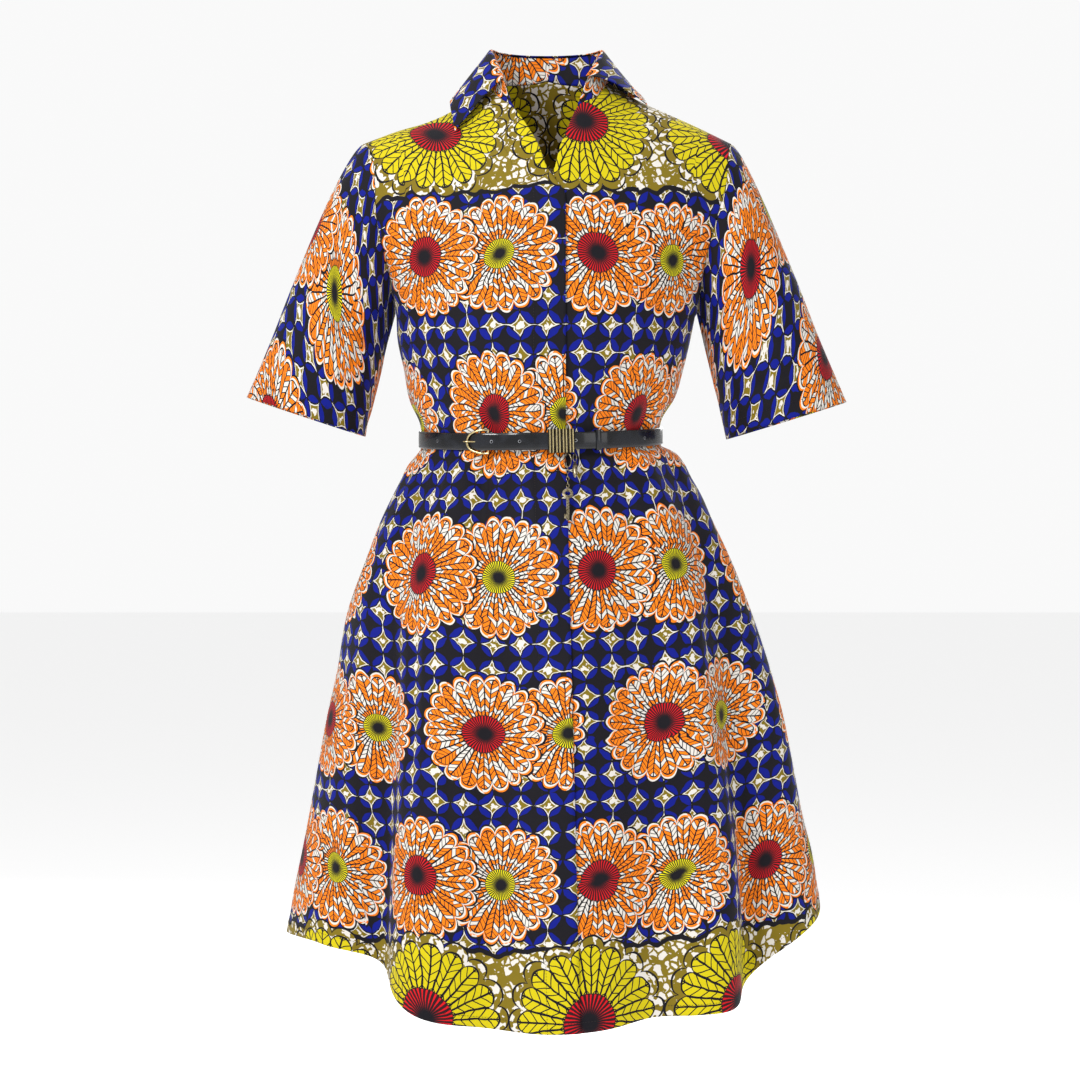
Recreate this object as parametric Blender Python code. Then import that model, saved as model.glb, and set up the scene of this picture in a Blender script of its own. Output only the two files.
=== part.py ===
"""Ankara wax print shirt dress with its own thin belt, in its worn, hollow form.

Metres, +Z up. The front faces -Y and the wearer's left is +X. The origin lies
midway between the shoulders, where the wearer holds the dress up.

Angles round the body are in degrees: 0 at the centre front, 90 at the wearer's
left side seam, 180 at the centre back. Above the underarm a level in degrees
takes the place of the height: 90 is the shoulder seam and 0 is the underarm.
"""

import math

import bmesh
import bpy
import numpy as np

COLLECTION = "Ankara dress"
CUTTERS = "Cutters"

# Driving dimensions
WALL = 0.0015
SEAM_GAP = 0.00035
UNDERARM_Z = -0.205
HIP_Z = -0.60
HEM_LOW_Z = -0.94
FRONT_DEPTH = 0.115
BACK_DEPTH = 0.100
BELT_Z = -0.337
BELT_TILT = 0.08
BELT_ROLL = 0.016
BELT_TILT_REACH = 0.06

FOLD_ENTRY = 0.05
FOLD_SWAY = 0.6

FRONT_COLUMNS = 13
BACK_NECK_COLUMNS = 4
BACK_SIDE_COLUMNS = 9
YOKE_LEVELS = (90, 80, 70, 60, 50.4, 42.7, 36, 29.5, 24.6, 17, 8, 0)
BODICE_ROWS = 7
SKIRT_ROWS = 15
SKIRT_ROW_GROWTH = 1.15
WAIST_ROWS = (0.0145, 0.0095, -0.0105, -0.0165)

PLACKET_EDGE_X = 0.019
PLACKET_HEM_EDGE_X = 0.032
PLACKET_WIDTH = 0.035
PLACKET_LIFT = 0.0022
PLACKET_FADE = 0.030

BUST_DEPTH = 0.010
BUST_X = 0.082
BUST_Z = -0.235
BUST_WIDTH = 0.055
BUST_HEIGHT = 0.075
BUST_CLEAR = 0.018

# Height of the shoulder line over the distance from the middle of the neck
SHOULDER = {
    "reach": (0.000, 0.030, 0.066, 0.085, 0.102, 0.128, 0.158, 0.198),
    "right_z": (0.084, 0.070, 0.041, 0.023, 0.011, -0.001, -0.010, -0.0246),
    "left_z": (0.084, 0.070, 0.041, 0.029, 0.020, 0.0085, -0.005, -0.0246),
}

# Armhole edge: distance from the middle, and how far round the edge lies
ARMHOLE = {
    "level": (0, 15, 30, 45, 60, 75, 90),
    "right_x": (0.162, 0.169, 0.179, 0.181, 0.184, 0.191, 0.198),
    "left_x": (0.160, 0.167, 0.178, 0.188, 0.191, 0.194, 0.198),
    "turn": (90, 71, 60, 52, 43, 36, 33),
}

# Neckline and front edge: x of the edge of each front, and of the back neck
NECKLINE = {
    "level": (0, 19.6, 24.6, 28.6, 36, 42.7, 50.4, 60, 70, 90),
    "right_front": (0.019, 0.019, 0.0183, 0.003, -0.009, -0.0215, -0.0353, -0.052, -0.0605, -0.066),
    "left_front": (-0.016, -0.016, -0.003, 0.0054, 0.0133, 0.0223, 0.0320, 0.052, 0.0605, 0.066),
}
BACK_NECK_LEVEL = 62.5
BACK_NECK_PLACE = 0.317

# Half widths and depths of the dress below the underarm
SECTIONS = {
    "z": (-0.205, -0.233, -0.265, -0.298, -0.321, -0.337, -0.3475, -0.3535, -0.365, -0.380, -0.400,
          -0.426, -0.458, -0.522, -0.586, -0.651, -0.715, -0.779, -0.827, -0.860, -0.945),
    "right": (0.1615, 0.1600, 0.153, 0.1466, 0.1360, 0.134, 0.1345, 0.1385, 0.1475, 0.1545, 0.1645,
              0.1766, 0.189, 0.212, 0.2227, 0.2366, 0.248, 0.260, 0.2697, 0.275, 0.285),
    "left": (0.1585, 0.153, 0.1455, 0.136, 0.1225, 0.1205, 0.1212, 0.1345, 0.1455, 0.1535, 0.1650,
             0.1765, 0.1915, 0.217, 0.2386, 0.2525, 0.266, 0.2836, 0.292, 0.297, 0.305),
    "front": (0.115, 0.117, 0.115, 0.108, 0.0995, 0.099, 0.0990, 0.1000, 0.1065, 0.1140, 0.1240,
              0.135, 0.146, 0.162, 0.173, 0.183, 0.191, 0.199, 0.204, 0.207, 0.212),
    "back": (0.100, 0.101, 0.098, 0.093, 0.0860, 0.085, 0.0852, 0.0875, 0.0945, 0.1010, 0.1110,
             0.122, 0.134, 0.151, 0.162, 0.171, 0.179, 0.186, 0.191, 0.194, 0.199),
}

# Shirt-tail hem: height of the lower edge round the body
HEM = {
    "angle": (-180, -155, -140, -125, -110, -90, -60, -44, -39, -34, -29, -14,
              0, 11, 20, 30, 39, 46, 54, 70, 90, 110, 125, 140, 155, 180),
    "z": (-0.941, -0.930, -0.908, -0.882, -0.868, -0.864, -0.862, -0.877, -0.889, -0.905, -0.918, -0.934,
          -0.938, -0.934, -0.927, -0.924, -0.918, -0.903, -0.872, -0.838, -0.826, -0.838, -0.860, -0.900,
          -0.930, -0.941),
}

# Skirt folds: where each trough or ridge (positive) runs from the belt to the hem.
# Depths and spreads are given at the belt and at the hem.
FOLDS = {
    "belt_angle": (-63, -40, -10, 12, 30, 48, 70, 88, 108, 131, 152, 175, -163, -141, -120, -98),
    "hem_angle": (-41, -25, -12, 6, 22, 35, 46, 64, 95, 122, 146, 172, -165, -143, -119, -84),
    "belt_depth": (-0.005, 0.001, -0.002, 0.0, -0.003, 0.001, -0.005, 0.0,
                   -0.003, 0.001, -0.005, 0.001, -0.005, 0.001, -0.004, 0.001),
    "hem_depth": (-0.034, 0.016, -0.012, 0.009, -0.014, 0.012, -0.030, 0.010,
                  -0.014, 0.014, -0.026, 0.014, -0.024, 0.014, -0.022, 0.002),
    "belt_spread": (9, 9, 8, 8, 8, 8, 8, 9, 10, 10, 9, 10, 9, 10, 10, 10),
    "hem_spread": (7, 10, 7, 9, 7, 8, 6, 10, 12, 12, 10, 12, 10, 12, 11, 13),
}

# Tucks pressed in by the belt: short troughs that fade above and below it
TUCKS = {
    "angle": (-27, 55, 38, -75, 160, -160, 128, -128),
    "depth": (0.007, 0.004, 0.002, 0.003, 0.005, 0.005, 0.003, 0.003),
    "spread": (5, 6, 5, 6, 7, 7, 7, 7),
    "above": (0.045, 0.030, 0.020, 0.030, 0.045, 0.045, 0.03, 0.03),
    "below": (0.130, 0.110, 0.060, 0.080, 0.100, 0.100, 0.07, 0.07),
}

# Sleeves: centre, half sizes and slant of the hem ring
SLEEVES = {
    "side": (-1, 1),
    "hem_x": (0.2575, 0.2560),
    "hem_y": (-0.002, -0.002),
    "hem_z": (-0.3155, -0.3195),
    "half_width": (0.0635, 0.0640),
    "half_depth": (0.0560, 0.0560),
    "hem_slant": (0.33, 0.31),
    "cap": (0.115, 0.085),
}
SLEEVE_ROWS = 8
SLEEVE_ROW_GROWTH = 1.3
CAP_OUT = 0.80
CAP_DOWN = 0.60
CAP_FALLOFF = 1.2
SLEEVE_EASE = 0.5

# Collar: the fold line and the outer edge of the fall. The key is a place along the neck
# seam: 0 the wearer's right front end, 4 and 12 the shoulders, 8 the centre back.
# The edge lies over the shoulder at an angle: under 90 in front, 90 on the seam, over 90 behind.
COLLAR = {
    "place": (0, 2, 4, 5.5, 7, 8, 9, 10.5, 12, 14, 16),
    "fold_x": (-0.0467, -0.0565, -0.0600, -0.0500, -0.0260, 0.0, 0.0260, 0.0500, 0.0590, 0.0555, 0.0427),
    "fold_y": (-0.0620, -0.0340, 0.0000, 0.0290, 0.0480, 0.0520, 0.0480, 0.0290, 0.0000, -0.0340, -0.0620),
    "fold_z": (0.0350, 0.0600, 0.0750, 0.0765, 0.0768, 0.0768, 0.0768, 0.0765, 0.0745, 0.0600, 0.0375),
    "edge_x": (-0.0950, -0.0985, -0.0950, -0.0780, -0.0420, 0.0, 0.0420, 0.0760, 0.0930, 0.0995, 0.1035),
    "edge_over": (57, 76, 95, 110, 121, 125, 121, 110, 96, 84, 73),
    "edge_lift": (0.0030, 0.0060, 0.0100, 0.0090, 0.0070, 0.0060, 0.0060, 0.0070, 0.0050, 0.0040, 0.0040),
    "bow": (0.002, 0.002, 0.000, 0.001, 0.003, 0.004, 0.003, 0.001, 0.000, 0.002, 0.008),
}

# Belt: angles round the waist, offsets out from the cloth's plain section
STRAP_HEIGHT = 0.018
STRAP_THICK = 0.002
STRAP_CLEAR = 0.0010
STRAP_FRONT_CLEAR = 0.0046
STRAP_FRONT_FROM = -12
STRAP_FRONT_TO = 28
STRAP_FRONT_FADE = 12
STRAP_STEP = 5
STRAP_START = -26.1
TAIL_FROM = -35.5
TAIL_ON = -29.5
TAIL_END = 26.6
BAR_ANGLE = -26.9
BAR_OUT = 0.0016
FRAME_WIRE = 0.0012
FRAME_TURN = 10.2
FRAME_RISE = 0.0124
FRAME_OUT = 0.0054
FRAME_STEPS = 20
FRAME_POWERS = (0.9, 0.85)
SLOT_ANGLE = -33.3
SLOT_LONG = 0.0118
SLOT_HIGH = 0.0034
SLOT_REACH = (-0.002, 0.010)

# The prong, from the bar to its tip over the frame
PRONG = {
    "angle": (-28.2, -30.2, -32.2, -33.8, -35.4, -36.9, -38.6),
    "out": (0.0016, 0.0016, 0.0023, 0.0042, 0.0066, 0.0078, 0.0074),
}
PRONG_WIRE = 0.0008

SLIDE_FROM = 0.4
SLIDE_TO = 12.7
SLIDE_BARS = 4
SLIDE_HALF_HEIGHT = 0.0122
SLIDE_HOLE_HALF_HEIGHT = 0.0100
SLIDE_BAR_OUT = 0.0009
SLIDE_BAR_STEPS = (0.10, 0.16, 0.84, 0.90)
LOOP_FACE = 0.0011
LOOP_BACK = 0.0008
HOLE_SLACK_IN = 0.0007
HOLE_SLACK_OUT = 0.0004
KEEPER_FROM = 23.2
KEEPER_TO = 25.8
KEEPER_HALF_HEIGHT = 0.0106
KEEPER_HOLE_HALF_HEIGHT = 0.0095

# Charms: they hang from two eyes under the slide and lie along the slope of the skirt
EYE_ANGLES = {"chain": 9.2, "leaf": 12.6}
EYE_DROP = 0.0135
EYE_RADIUS = 0.0015
EYE_WIRE = 0.0005
EYE_OUT = 0.0010
HANG_SLOPE = 28
RING_HALF_WIDTH = 0.0038
RING_HALF_LENGTH = 0.0080
RING_WIRE = 0.00055
LINKS = 7
LINK_TOP = 0.01475
LINK_HALF_LENGTH = 0.0021
LAST_LINK_HALF_LENGTH = 0.0027
LAST_LINK_HALF_WIDTH = 0.0029
LINK_HALF_WIDTH = 0.0015
LINK_WIRE = 0.0004
KEY_DISC_AT = 0.04685
KEY_DISC_RADIUS = 0.0056
KEY_HOLE_RADIUS = 0.0027
KEY_THICK = 0.0012
KEY_SHANK_WIDTH = 0.0030
KEY_END = 0.078
KEY_BIT_WIDTH = 0.0022
KEY_BIT_FROM = 0.007
KEY_BIT_TO = 0.002
KEY_STEM_OVERLAP = 0.0015
KEY_STEM_THICK = 0.0011
LEAF_FROM = 0.0093
LEAF_TO = 0.0285
LEAF_WIDTH = 0.0054
LEAF_THICK = 0.0010
LEAF_LOOP_HALF_LENGTH = 0.0050
LEAF_LOOP_HALF_WIDTH = 0.0018
LEAF_LOOP_WIRE = 0.0004
LEAF_POINT = 0.3

COLLAR_NODE_STEPS = 2
COLLAR_END_ROW = 4
FALL_ROWS = 5
STAND_ROWS = 3
STAND_OFF = 1.2
STAND_OUT = 0.5
FALL_LEAN = 0.8
FALL_ROUND = 0.7


def table_value(table, key, column, at):
    """A smooth value of one column at a place along the key column."""
    keys = np.array(table[key], float)
    values = np.array(table[column], float)
    order = np.argsort(keys)
    keys = keys[order]
    values = values[order]
    slopes = np.gradient(values, keys)
    at = float(np.clip(at, keys[0], keys[-1]))
    i = int(np.clip(np.searchsorted(keys, at) - 1, 0, len(keys) - 2))
    span = keys[i + 1] - keys[i]
    t = (at - keys[i]) / span
    rise = values[i + 1] - values[i]
    flat = rise == 0
    low = 0.0 if flat else float(np.clip(slopes[i] * span, -3 * abs(rise), 3 * abs(rise)))
    high = 0.0 if flat else float(np.clip(slopes[i + 1] * span, -3 * abs(rise), 3 * abs(rise)))
    blend = t * t * (3 - 2 * t)
    return values[i] + rise * blend + low * t * (1 - t) ** 2 - high * t * t * (1 - t)


def ease(value):
    """A soft step from 0 to 1."""
    value = min(max(value, 0.0), 1.0)
    return value * value * (3 - 2 * value)


def unit(vector):
    """The vector at length 1."""
    return vector / np.linalg.norm(vector)


def turn_apart(angle, other):
    """The difference of two angles in degrees, from -180 to 180."""
    return (angle - other + 180) % 360 - 180


def fold_depth(angle, z):
    """How far the cloth lies in (below 0) or out at this place on the skirt or waist."""
    total = 0.0
    fall = (BELT_Z - z) / (BELT_Z - HEM_LOW_Z)
    if fall > 0:
        grow = ease(fall * 1.15) * 0.5 + fall * 0.5
        enter = ease(fall / FOLD_ENTRY)
        for belt_at, hem_at, belt_depth, hem_depth, belt_spread, hem_spread in zip(*FOLDS.values()):
            centre = belt_at + turn_apart(hem_at, belt_at) * min(1.0, fall) ** FOLD_SWAY
            depth = (belt_depth + (hem_depth - belt_depth) * grow) * enter
            spread = belt_spread + (hem_spread - belt_spread) * fall
            total += depth * math.exp(-((turn_apart(angle, centre) / spread) ** 2))
    for centre, depth, spread, above, below in zip(*TUCKS.values()):
        reach = above if z > BELT_Z else below
        fade = math.exp(-(((z - BELT_Z) / reach) ** 2))
        total -= depth * fade * math.exp(-((turn_apart(angle, centre) / spread) ** 2))
    return total


def bust(x, z):
    """How far the front stands out over the bust."""
    across = math.exp(-(((abs(x) - BUST_X) / BUST_WIDTH) ** 2))
    above_belt = ease((z - BELT_Z - BUST_CLEAR) / BUST_HEIGHT)
    return BUST_DEPTH * across * above_belt * math.exp(-(((z - BUST_Z) / BUST_HEIGHT) ** 2))


def ring_point(angle, z):
    """A point of the outer cloth below the underarm."""
    turn = math.radians(angle)
    side = "left" if math.sin(turn) > 0 else "right"
    face = "front" if math.cos(turn) > 0 else "back"
    half_width = table_value(SECTIONS, "z", side, z)
    depth = table_value(SECTIONS, "z", face, z)
    out = np.array([math.sin(turn) / half_width, -math.cos(turn) / depth])
    out = unit(out) * fold_depth(angle, z)
    x = half_width * math.sin(turn) + out[0]
    y = -depth * math.cos(turn) + out[1]
    if face == "front":
        y -= bust(x, z) * abs(math.cos(turn))
    near_belt = math.exp(-(((z - BELT_Z) / BELT_TILT_REACH) ** 2))
    return np.array([x, y, z + (BELT_TILT * y + BELT_ROLL * x) * near_belt])


def yoke_point(face, side, level, x):
    """A point of the outer cloth above the underarm, by its level and distance across."""
    rise = math.radians(level)
    turn_end = math.radians(table_value(ARMHOLE, "level", "turn", level))
    reach = table_value(ARMHOLE, "level", side + "_x", level) / math.sin(turn_end)
    across = min(max(x / reach, -1.0), 1.0)
    depth = FRONT_DEPTH if face == "front" else BACK_DEPTH
    ridge = table_value(SHOULDER, "reach", side + "_z", abs(x))
    z = UNDERARM_Z + (ridge - UNDERARM_Z) * math.sin(rise)
    y = depth * math.sqrt(1 - across * across) * math.cos(rise)
    if face == "front":
        y = -(y + bust(x, z) * math.cos(rise) * math.sqrt(1 - across * across))
    return np.array([x, y, z])


def hem_height(angle):
    """Height of the hem at this angle."""
    return table_value(HEM, "angle", "z", turn_apart(angle, 0))


def row_height(z, angle):
    """A row's height, drawn in below the hips so that the last row follows the hem."""
    if z >= HIP_Z:
        return z
    return HIP_Z + (z - HIP_Z) * (hem_height(angle) - HIP_Z) / (HEM_LOW_Z - HIP_Z)


def body_rows():
    """The rows of every body panel: (kind, place) from the shoulder to the hem."""
    rows = [("yoke", level) for level in YOKE_LEVELS]
    first, *waist, last = (BELT_Z + step for step in WAIST_ROWS)
    skirt = last + (HEM_LOW_Z - last) * np.linspace(0, 1, SKIRT_ROWS) ** SKIRT_ROW_GROWTH
    heights = [*np.linspace(UNDERARM_Z, first, BODICE_ROWS)[1:], *waist, *skirt]
    rows += [("ring", z) for z in heights]
    return rows


def placket_edges(z):
    """x of the under front's edge and of the top front's edge at this height."""
    fall = max(0.0, (BELT_Z - z) / (BELT_Z - HEM_LOW_Z))
    top = PLACKET_EDGE_X + (PLACKET_HEM_EDGE_X - PLACKET_EDGE_X) * fall
    return top - PLACKET_WIDTH, top


def cloth_point(face, kind, row, x_or_angle):
    """A point of the outer cloth and its outward normal, on a yoke row or a ring row."""
    step = 0.0005
    if kind == "yoke":
        side = "left" if x_or_angle > 0 else "right"
        low = min(row, 89.5)
        here = yoke_point(face, side, low, x_or_angle)
        across = yoke_point(face, side, low, x_or_angle + step) - yoke_point(face, side, low, x_or_angle - step)
        up = yoke_point(face, side, low + 0.5, x_or_angle) - yoke_point(face, side, max(low - 0.5, 0), x_or_angle)
        normal = unit(np.cross(across, up))
        if face == "back":
            normal = -normal
        return yoke_point(face, side, row, x_or_angle), normal
    angle = x_or_angle
    z = row_height(row, angle)
    across = ring_point(angle + 0.5, z) - ring_point(angle - 0.5, z)
    up = ring_point(angle, z + step) - ring_point(angle, z - step)
    return ring_point(angle, z), unit(np.cross(across, up))


def front_places(side, kind, row):
    """Where the columns of a front lie on this row: x on the yoke, else the angle."""
    sign = 1 if side == "left" else -1
    if kind == "yoke":
        edges = (
            table_value(NECKLINE, "level", "left_front", row),
            table_value(NECKLINE, "level", "right_front", row),
        )
        reach = table_value(ARMHOLE, "level", side + "_x", row)
        end_turn = math.radians(table_value(ARMHOLE, "level", "turn", row))
        width = reach / math.sin(end_turn)
        ends = [math.asin(edge / width) for edge in edges]
        last = sign * end_turn
    else:
        edges = placket_edges(row)
        half = table_value(SECTIONS, "z", "left", row), table_value(SECTIONS, "z", "right", row)
        ends = [math.asin(edge / half[0 if edge > 0 else 1]) for edge in edges]
        last = sign * math.pi / 2
    under, top = ends
    if top <= under:
        start = under if side == "left" else top
        overlap = [start, start + (last - start) * 0.05, start + (last - start) * 0.10]
    elif side == "left":
        overlap = [under, (under + top) / 2, top]
    else:
        overlap = [top, (under + top) / 2, under]
    rest = [overlap[2] + (last - overlap[2]) * i / FRONT_COLUMNS for i in range(1, FRONT_COLUMNS + 1)]
    turns = overlap + rest
    if kind == "yoke":
        return [width * math.sin(turn) for turn in turns]
    return [math.degrees(turn) for turn in turns]


def back_places(kind, row_share):
    """Column places of the back: (level, x) on the yoke, else angles, from the right side to the left."""
    shares = [BACK_NECK_PLACE * i / BACK_NECK_COLUMNS for i in range(BACK_NECK_COLUMNS + 1)]
    shares += [
        BACK_NECK_PLACE + (1 - BACK_NECK_PLACE) * i / BACK_SIDE_COLUMNS for i in range(1, BACK_SIDE_COLUMNS + 1)
    ]
    shares = [-share for share in shares[:0:-1]] + shares
    if kind == "ring":
        return [180 - 90 * share for share in shares]
    places = []
    for share in shares:
        top = 90.0
        if abs(share) < BACK_NECK_PLACE:
            top -= (90 - BACK_NECK_LEVEL) * math.sqrt(1 - (share / BACK_NECK_PLACE) ** 2)
        level = top * row_share
        side = "left_x" if share > 0 else "right_x"
        end_turn = math.radians(table_value(ARMHOLE, "level", "turn", level))
        width = table_value(ARMHOLE, "level", side, level) / math.sin(end_turn)
        places.append((level, width * math.sin(end_turn * share)))
    return places


def placket_lift(x, z):
    """How far the top front stands out, so that it lies over the under front."""
    under = placket_edges(z)[0] - SEAM_GAP
    return PLACKET_LIFT * (1 - ease((under - x) / PLACKET_FADE))


def front_grid(side):
    """Outer points and normals of a front, row by row from the shoulder to the hem."""
    points = []
    normals = []
    for kind, row in body_rows():
        line = [cloth_point("front", kind, row, place) for place in front_places(side, kind, row)]
        lifts = [placket_lift(p[0], p[2]) if side == "right" else 0.0 for p, _ in line]
        points.append([p + n * lift - [0, SEAM_GAP / 2, 0] for (p, n), lift in zip(line, lifts)])
        normals.append([n for _, n in line])
    return np.array(points), np.array(normals)


def back_grid():
    """Outer points and normals of the back, row by row from the shoulders and neck to the hem."""
    points = []
    normals = []
    for kind, row in body_rows():
        if kind == "yoke":
            line = [cloth_point("back", kind, level, x) for level, x in back_places(kind, row / 90)]
        else:
            line = [cloth_point("back", kind, row, angle) for angle in back_places(kind, 0)]
        points.append([p + [0, SEAM_GAP / 2, 0] for p, _ in line])
        normals.append([n for _, n in line])
    return np.array(points), np.array(normals)


def wall_mesh(outer, inner, closed=False):
    """Vertices and triangles of a wall between two grids of points, its edges closed."""
    rows, columns = outer.shape[:2]
    vertices = np.concatenate([outer.reshape(-1, 3), inner.reshape(-1, 3)])
    shift = rows * columns
    faces = []

    def number(i, j, layer):
        return layer * shift + i * columns + j % columns

    last = columns if closed else columns - 1
    for i in range(rows - 1):
        for j in range(last):
            corners = [(i, j), (i, j + 1), (i + 1, j + 1), (i + 1, j)]
            for layer, order in ((0, (0, 3, 2, 1)), (1, (0, 1, 2, 3))):
                quad = [number(*corners[k], layer) for k in order]
                faces.append((quad[0], quad[1], quad[2]))
                faces.append((quad[0], quad[2], quad[3]))

    def strip(path):
        for (a, b) in zip(path, path[1:]):
            faces.append((number(*a, 0), number(*b, 0), number(*b, 1)))
            faces.append((number(*a, 0), number(*b, 1), number(*a, 1)))

    top = [(0, j) for j in range(last + 1)]
    bottom = [(rows - 1, j) for j in range(last, -1, -1)]
    if closed:
        strip(top)
        strip(bottom)
    else:
        right = [(i, columns - 1) for i in range(rows)]
        left = [(i, 0) for i in range(rows - 1, -1, -1)]
        strip(top + right[1:] + bottom[1:] + left[1:])
    return vertices, faces


def mesh_object(name, vertices, faces, material):
    """An object in the garment's collection whose faces are turned to point out."""
    mesh = bpy.data.meshes.new(name)
    mesh.from_pydata([tuple(v) for v in vertices], [], faces)
    frame = bmesh.new()
    frame.from_mesh(mesh)
    bmesh.ops.recalc_face_normals(frame, faces=frame.faces)
    frame.to_mesh(mesh)
    frame.free()
    mesh.shade_smooth()
    mesh.set_sharp_from_angle(angle=math.radians(40))
    mesh.materials.append(material)
    piece = bpy.data.objects.new(name, mesh)
    bpy.data.collections[COLLECTION].objects.link(piece)
    return piece


def grid_normals(points, closed):
    """Normals of a grid of points from its neighbours; rows run one way and columns the other."""
    along = np.gradient(points, axis=0)
    if closed:
        across = np.roll(points, -1, axis=1) - np.roll(points, 1, axis=1)
    else:
        across = np.gradient(points, axis=1)
    normals = np.cross(across, along)
    return normals / np.linalg.norm(normals, axis=2, keepdims=True)


def keep_off(normals, edges):
    """Normals with no lean towards the neighbouring panel, so that the wall's edge clears it."""
    kept = []
    for normal, edge in zip(normals, edges):
        kept.append(unit(normal - max(0.0, float(normal @ edge)) * edge))
    return np.array(kept)


def armhole_loop(side, front, front_normals, back, back_normals):
    """Points, body normals and outward edge directions round an armhole, from the top down the front."""
    rows = len(YOKE_LEVELS)
    column = 0 if side == "right" else -1
    top = (front[0, -1] + back[0, column]) / 2
    under = (front[rows - 1, -1] + back[rows - 1, column]) / 2
    loop = [top, *front[1 : rows - 1, -1], under, *back[rows - 2 : 0 : -1, column]]
    normals = [
        front_normals[0, -1],
        *front_normals[1 : rows - 1, -1],
        front_normals[rows - 1, -1],
        *back_normals[rows - 2 : 0 : -1, column],
    ]
    loop = np.array(loop)
    normals = np.array(normals)
    tangents = np.roll(loop, -1, axis=0) - np.roll(loop, 1, axis=0)
    beside = 1 if side == "right" else -2
    away = [front[0, -1] - front[0, -2], *(front[1 : rows - 1, -1] - front[1 : rows - 1, -2])]
    away += [np.array([0.0, 0.0, 1.0]), *(back[rows - 2 : 0 : -1, column] - back[rows - 2 : 0 : -1, beside])]
    edges = []
    for normal, tangent, direction in zip(normals, tangents, away):
        edge = unit(np.cross(normal, unit(tangent)))
        edges.append(edge if edge @ direction > 0 else -edge)
    return loop, normals, np.array(edges)


def sleeve_grid(index, loop, normals, edges):
    """Outer points of a sleeve, ring by ring from the armhole to its hem."""
    side = SLEEVES["side"][index]
    centre = np.array([side * SLEEVES["hem_x"][index], SLEEVES["hem_y"][index], SLEEVES["hem_z"][index]])
    half_width = SLEEVES["half_width"][index]
    half_depth = SLEEVES["half_depth"][index]
    count = len(loop)
    under = len(YOKE_LEVELS) - 1
    steps = np.linalg.norm(np.roll(loop, -1, axis=0) - loop, axis=1)
    walked = np.concatenate([[0.0], np.cumsum(steps)])
    grid = np.empty((SLEEVE_ROWS, count, 3))
    for k in range(count):
        if k <= under:
            turn = math.pi * walked[k] / walked[under]
        else:
            turn = math.pi * (1 + (walked[k] - walked[under]) / (walked[count] - walked[under]))
        out = half_width * math.cos(turn)
        hem = centre + [side * out, -half_depth * math.sin(turn), SLEEVES["hem_slant"][index] * out]
        lean = float(normals[k] @ unit(hem - loop[k]))
        start = loop[k] + SEAM_GAP * edges[k] + SEAM_GAP * max(0.0, lean) * normals[k]
        straight = hem - start
        cap = np.array([side * CAP_OUT, 0.0, -CAP_DOWN]) * SLEEVES["cap"][index]
        at_top = max(0.0, math.cos(turn)) ** CAP_FALLOFF
        leave = straight * SLEEVE_EASE * (1 - at_top) + cap * at_top
        arrive = straight
        for i, t in enumerate(np.linspace(0, 1, SLEEVE_ROWS) ** SLEEVE_ROW_GROWTH):
            grid[i, k] = (
                start * (1 - t) ** 2 * (1 + 2 * t)
                + hem * t * t * (3 - 2 * t)
                + leave * t * (1 - t) ** 2
                - arrive * t * t * (1 - t)
            )
    return grid


def neck_line(fronts, back):
    """Points, normals and edge directions of the neck seam, from the right front end to the left one."""
    right, right_normals = fronts["right"]
    left, left_normals = fronts["left"]
    points, normals = back
    end = COLLAR_END_ROW
    middle = BACK_SIDE_COLUMNS + BACK_NECK_COLUMNS
    first = middle - BACK_NECK_COLUMNS
    last = middle + BACK_NECK_COLUMNS
    line = [*right[end:0:-1, 0], (right[0, 0] + points[0, first]) / 2, *points[0, first + 1 : last]]
    line += [(left[0, 0] + points[0, last]) / 2, *left[1 : end + 1, 0]]
    faces = [*right_normals[end:0:-1, 0], *normals[0, first : last + 1], *left_normals[1 : end + 1, 0]]
    line = np.array(line)
    faces = np.array(faces)
    tangents = np.gradient(line, axis=0)
    centre = np.array([0.0, line[:, 1].mean(), line[:, 2].max() + 0.02])
    edges = []
    for point, face, tangent in zip(line, faces, tangents):
        edge = unit(np.cross(face, unit(tangent)))
        edges.append(edge if edge @ (centre - point) > 0 else -edge)
    return line, faces, np.array(edges)


def denser(values, steps):
    """The same polyline with more points on its straight runs."""
    places = np.linspace(0, len(values) - 1, (len(values) - 1) * steps + 1)
    low = np.minimum(places.astype(int), len(values) - 2)
    share = (places - low)[:, None]
    return values[low] * (1 - share) + values[low + 1] * share


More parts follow.
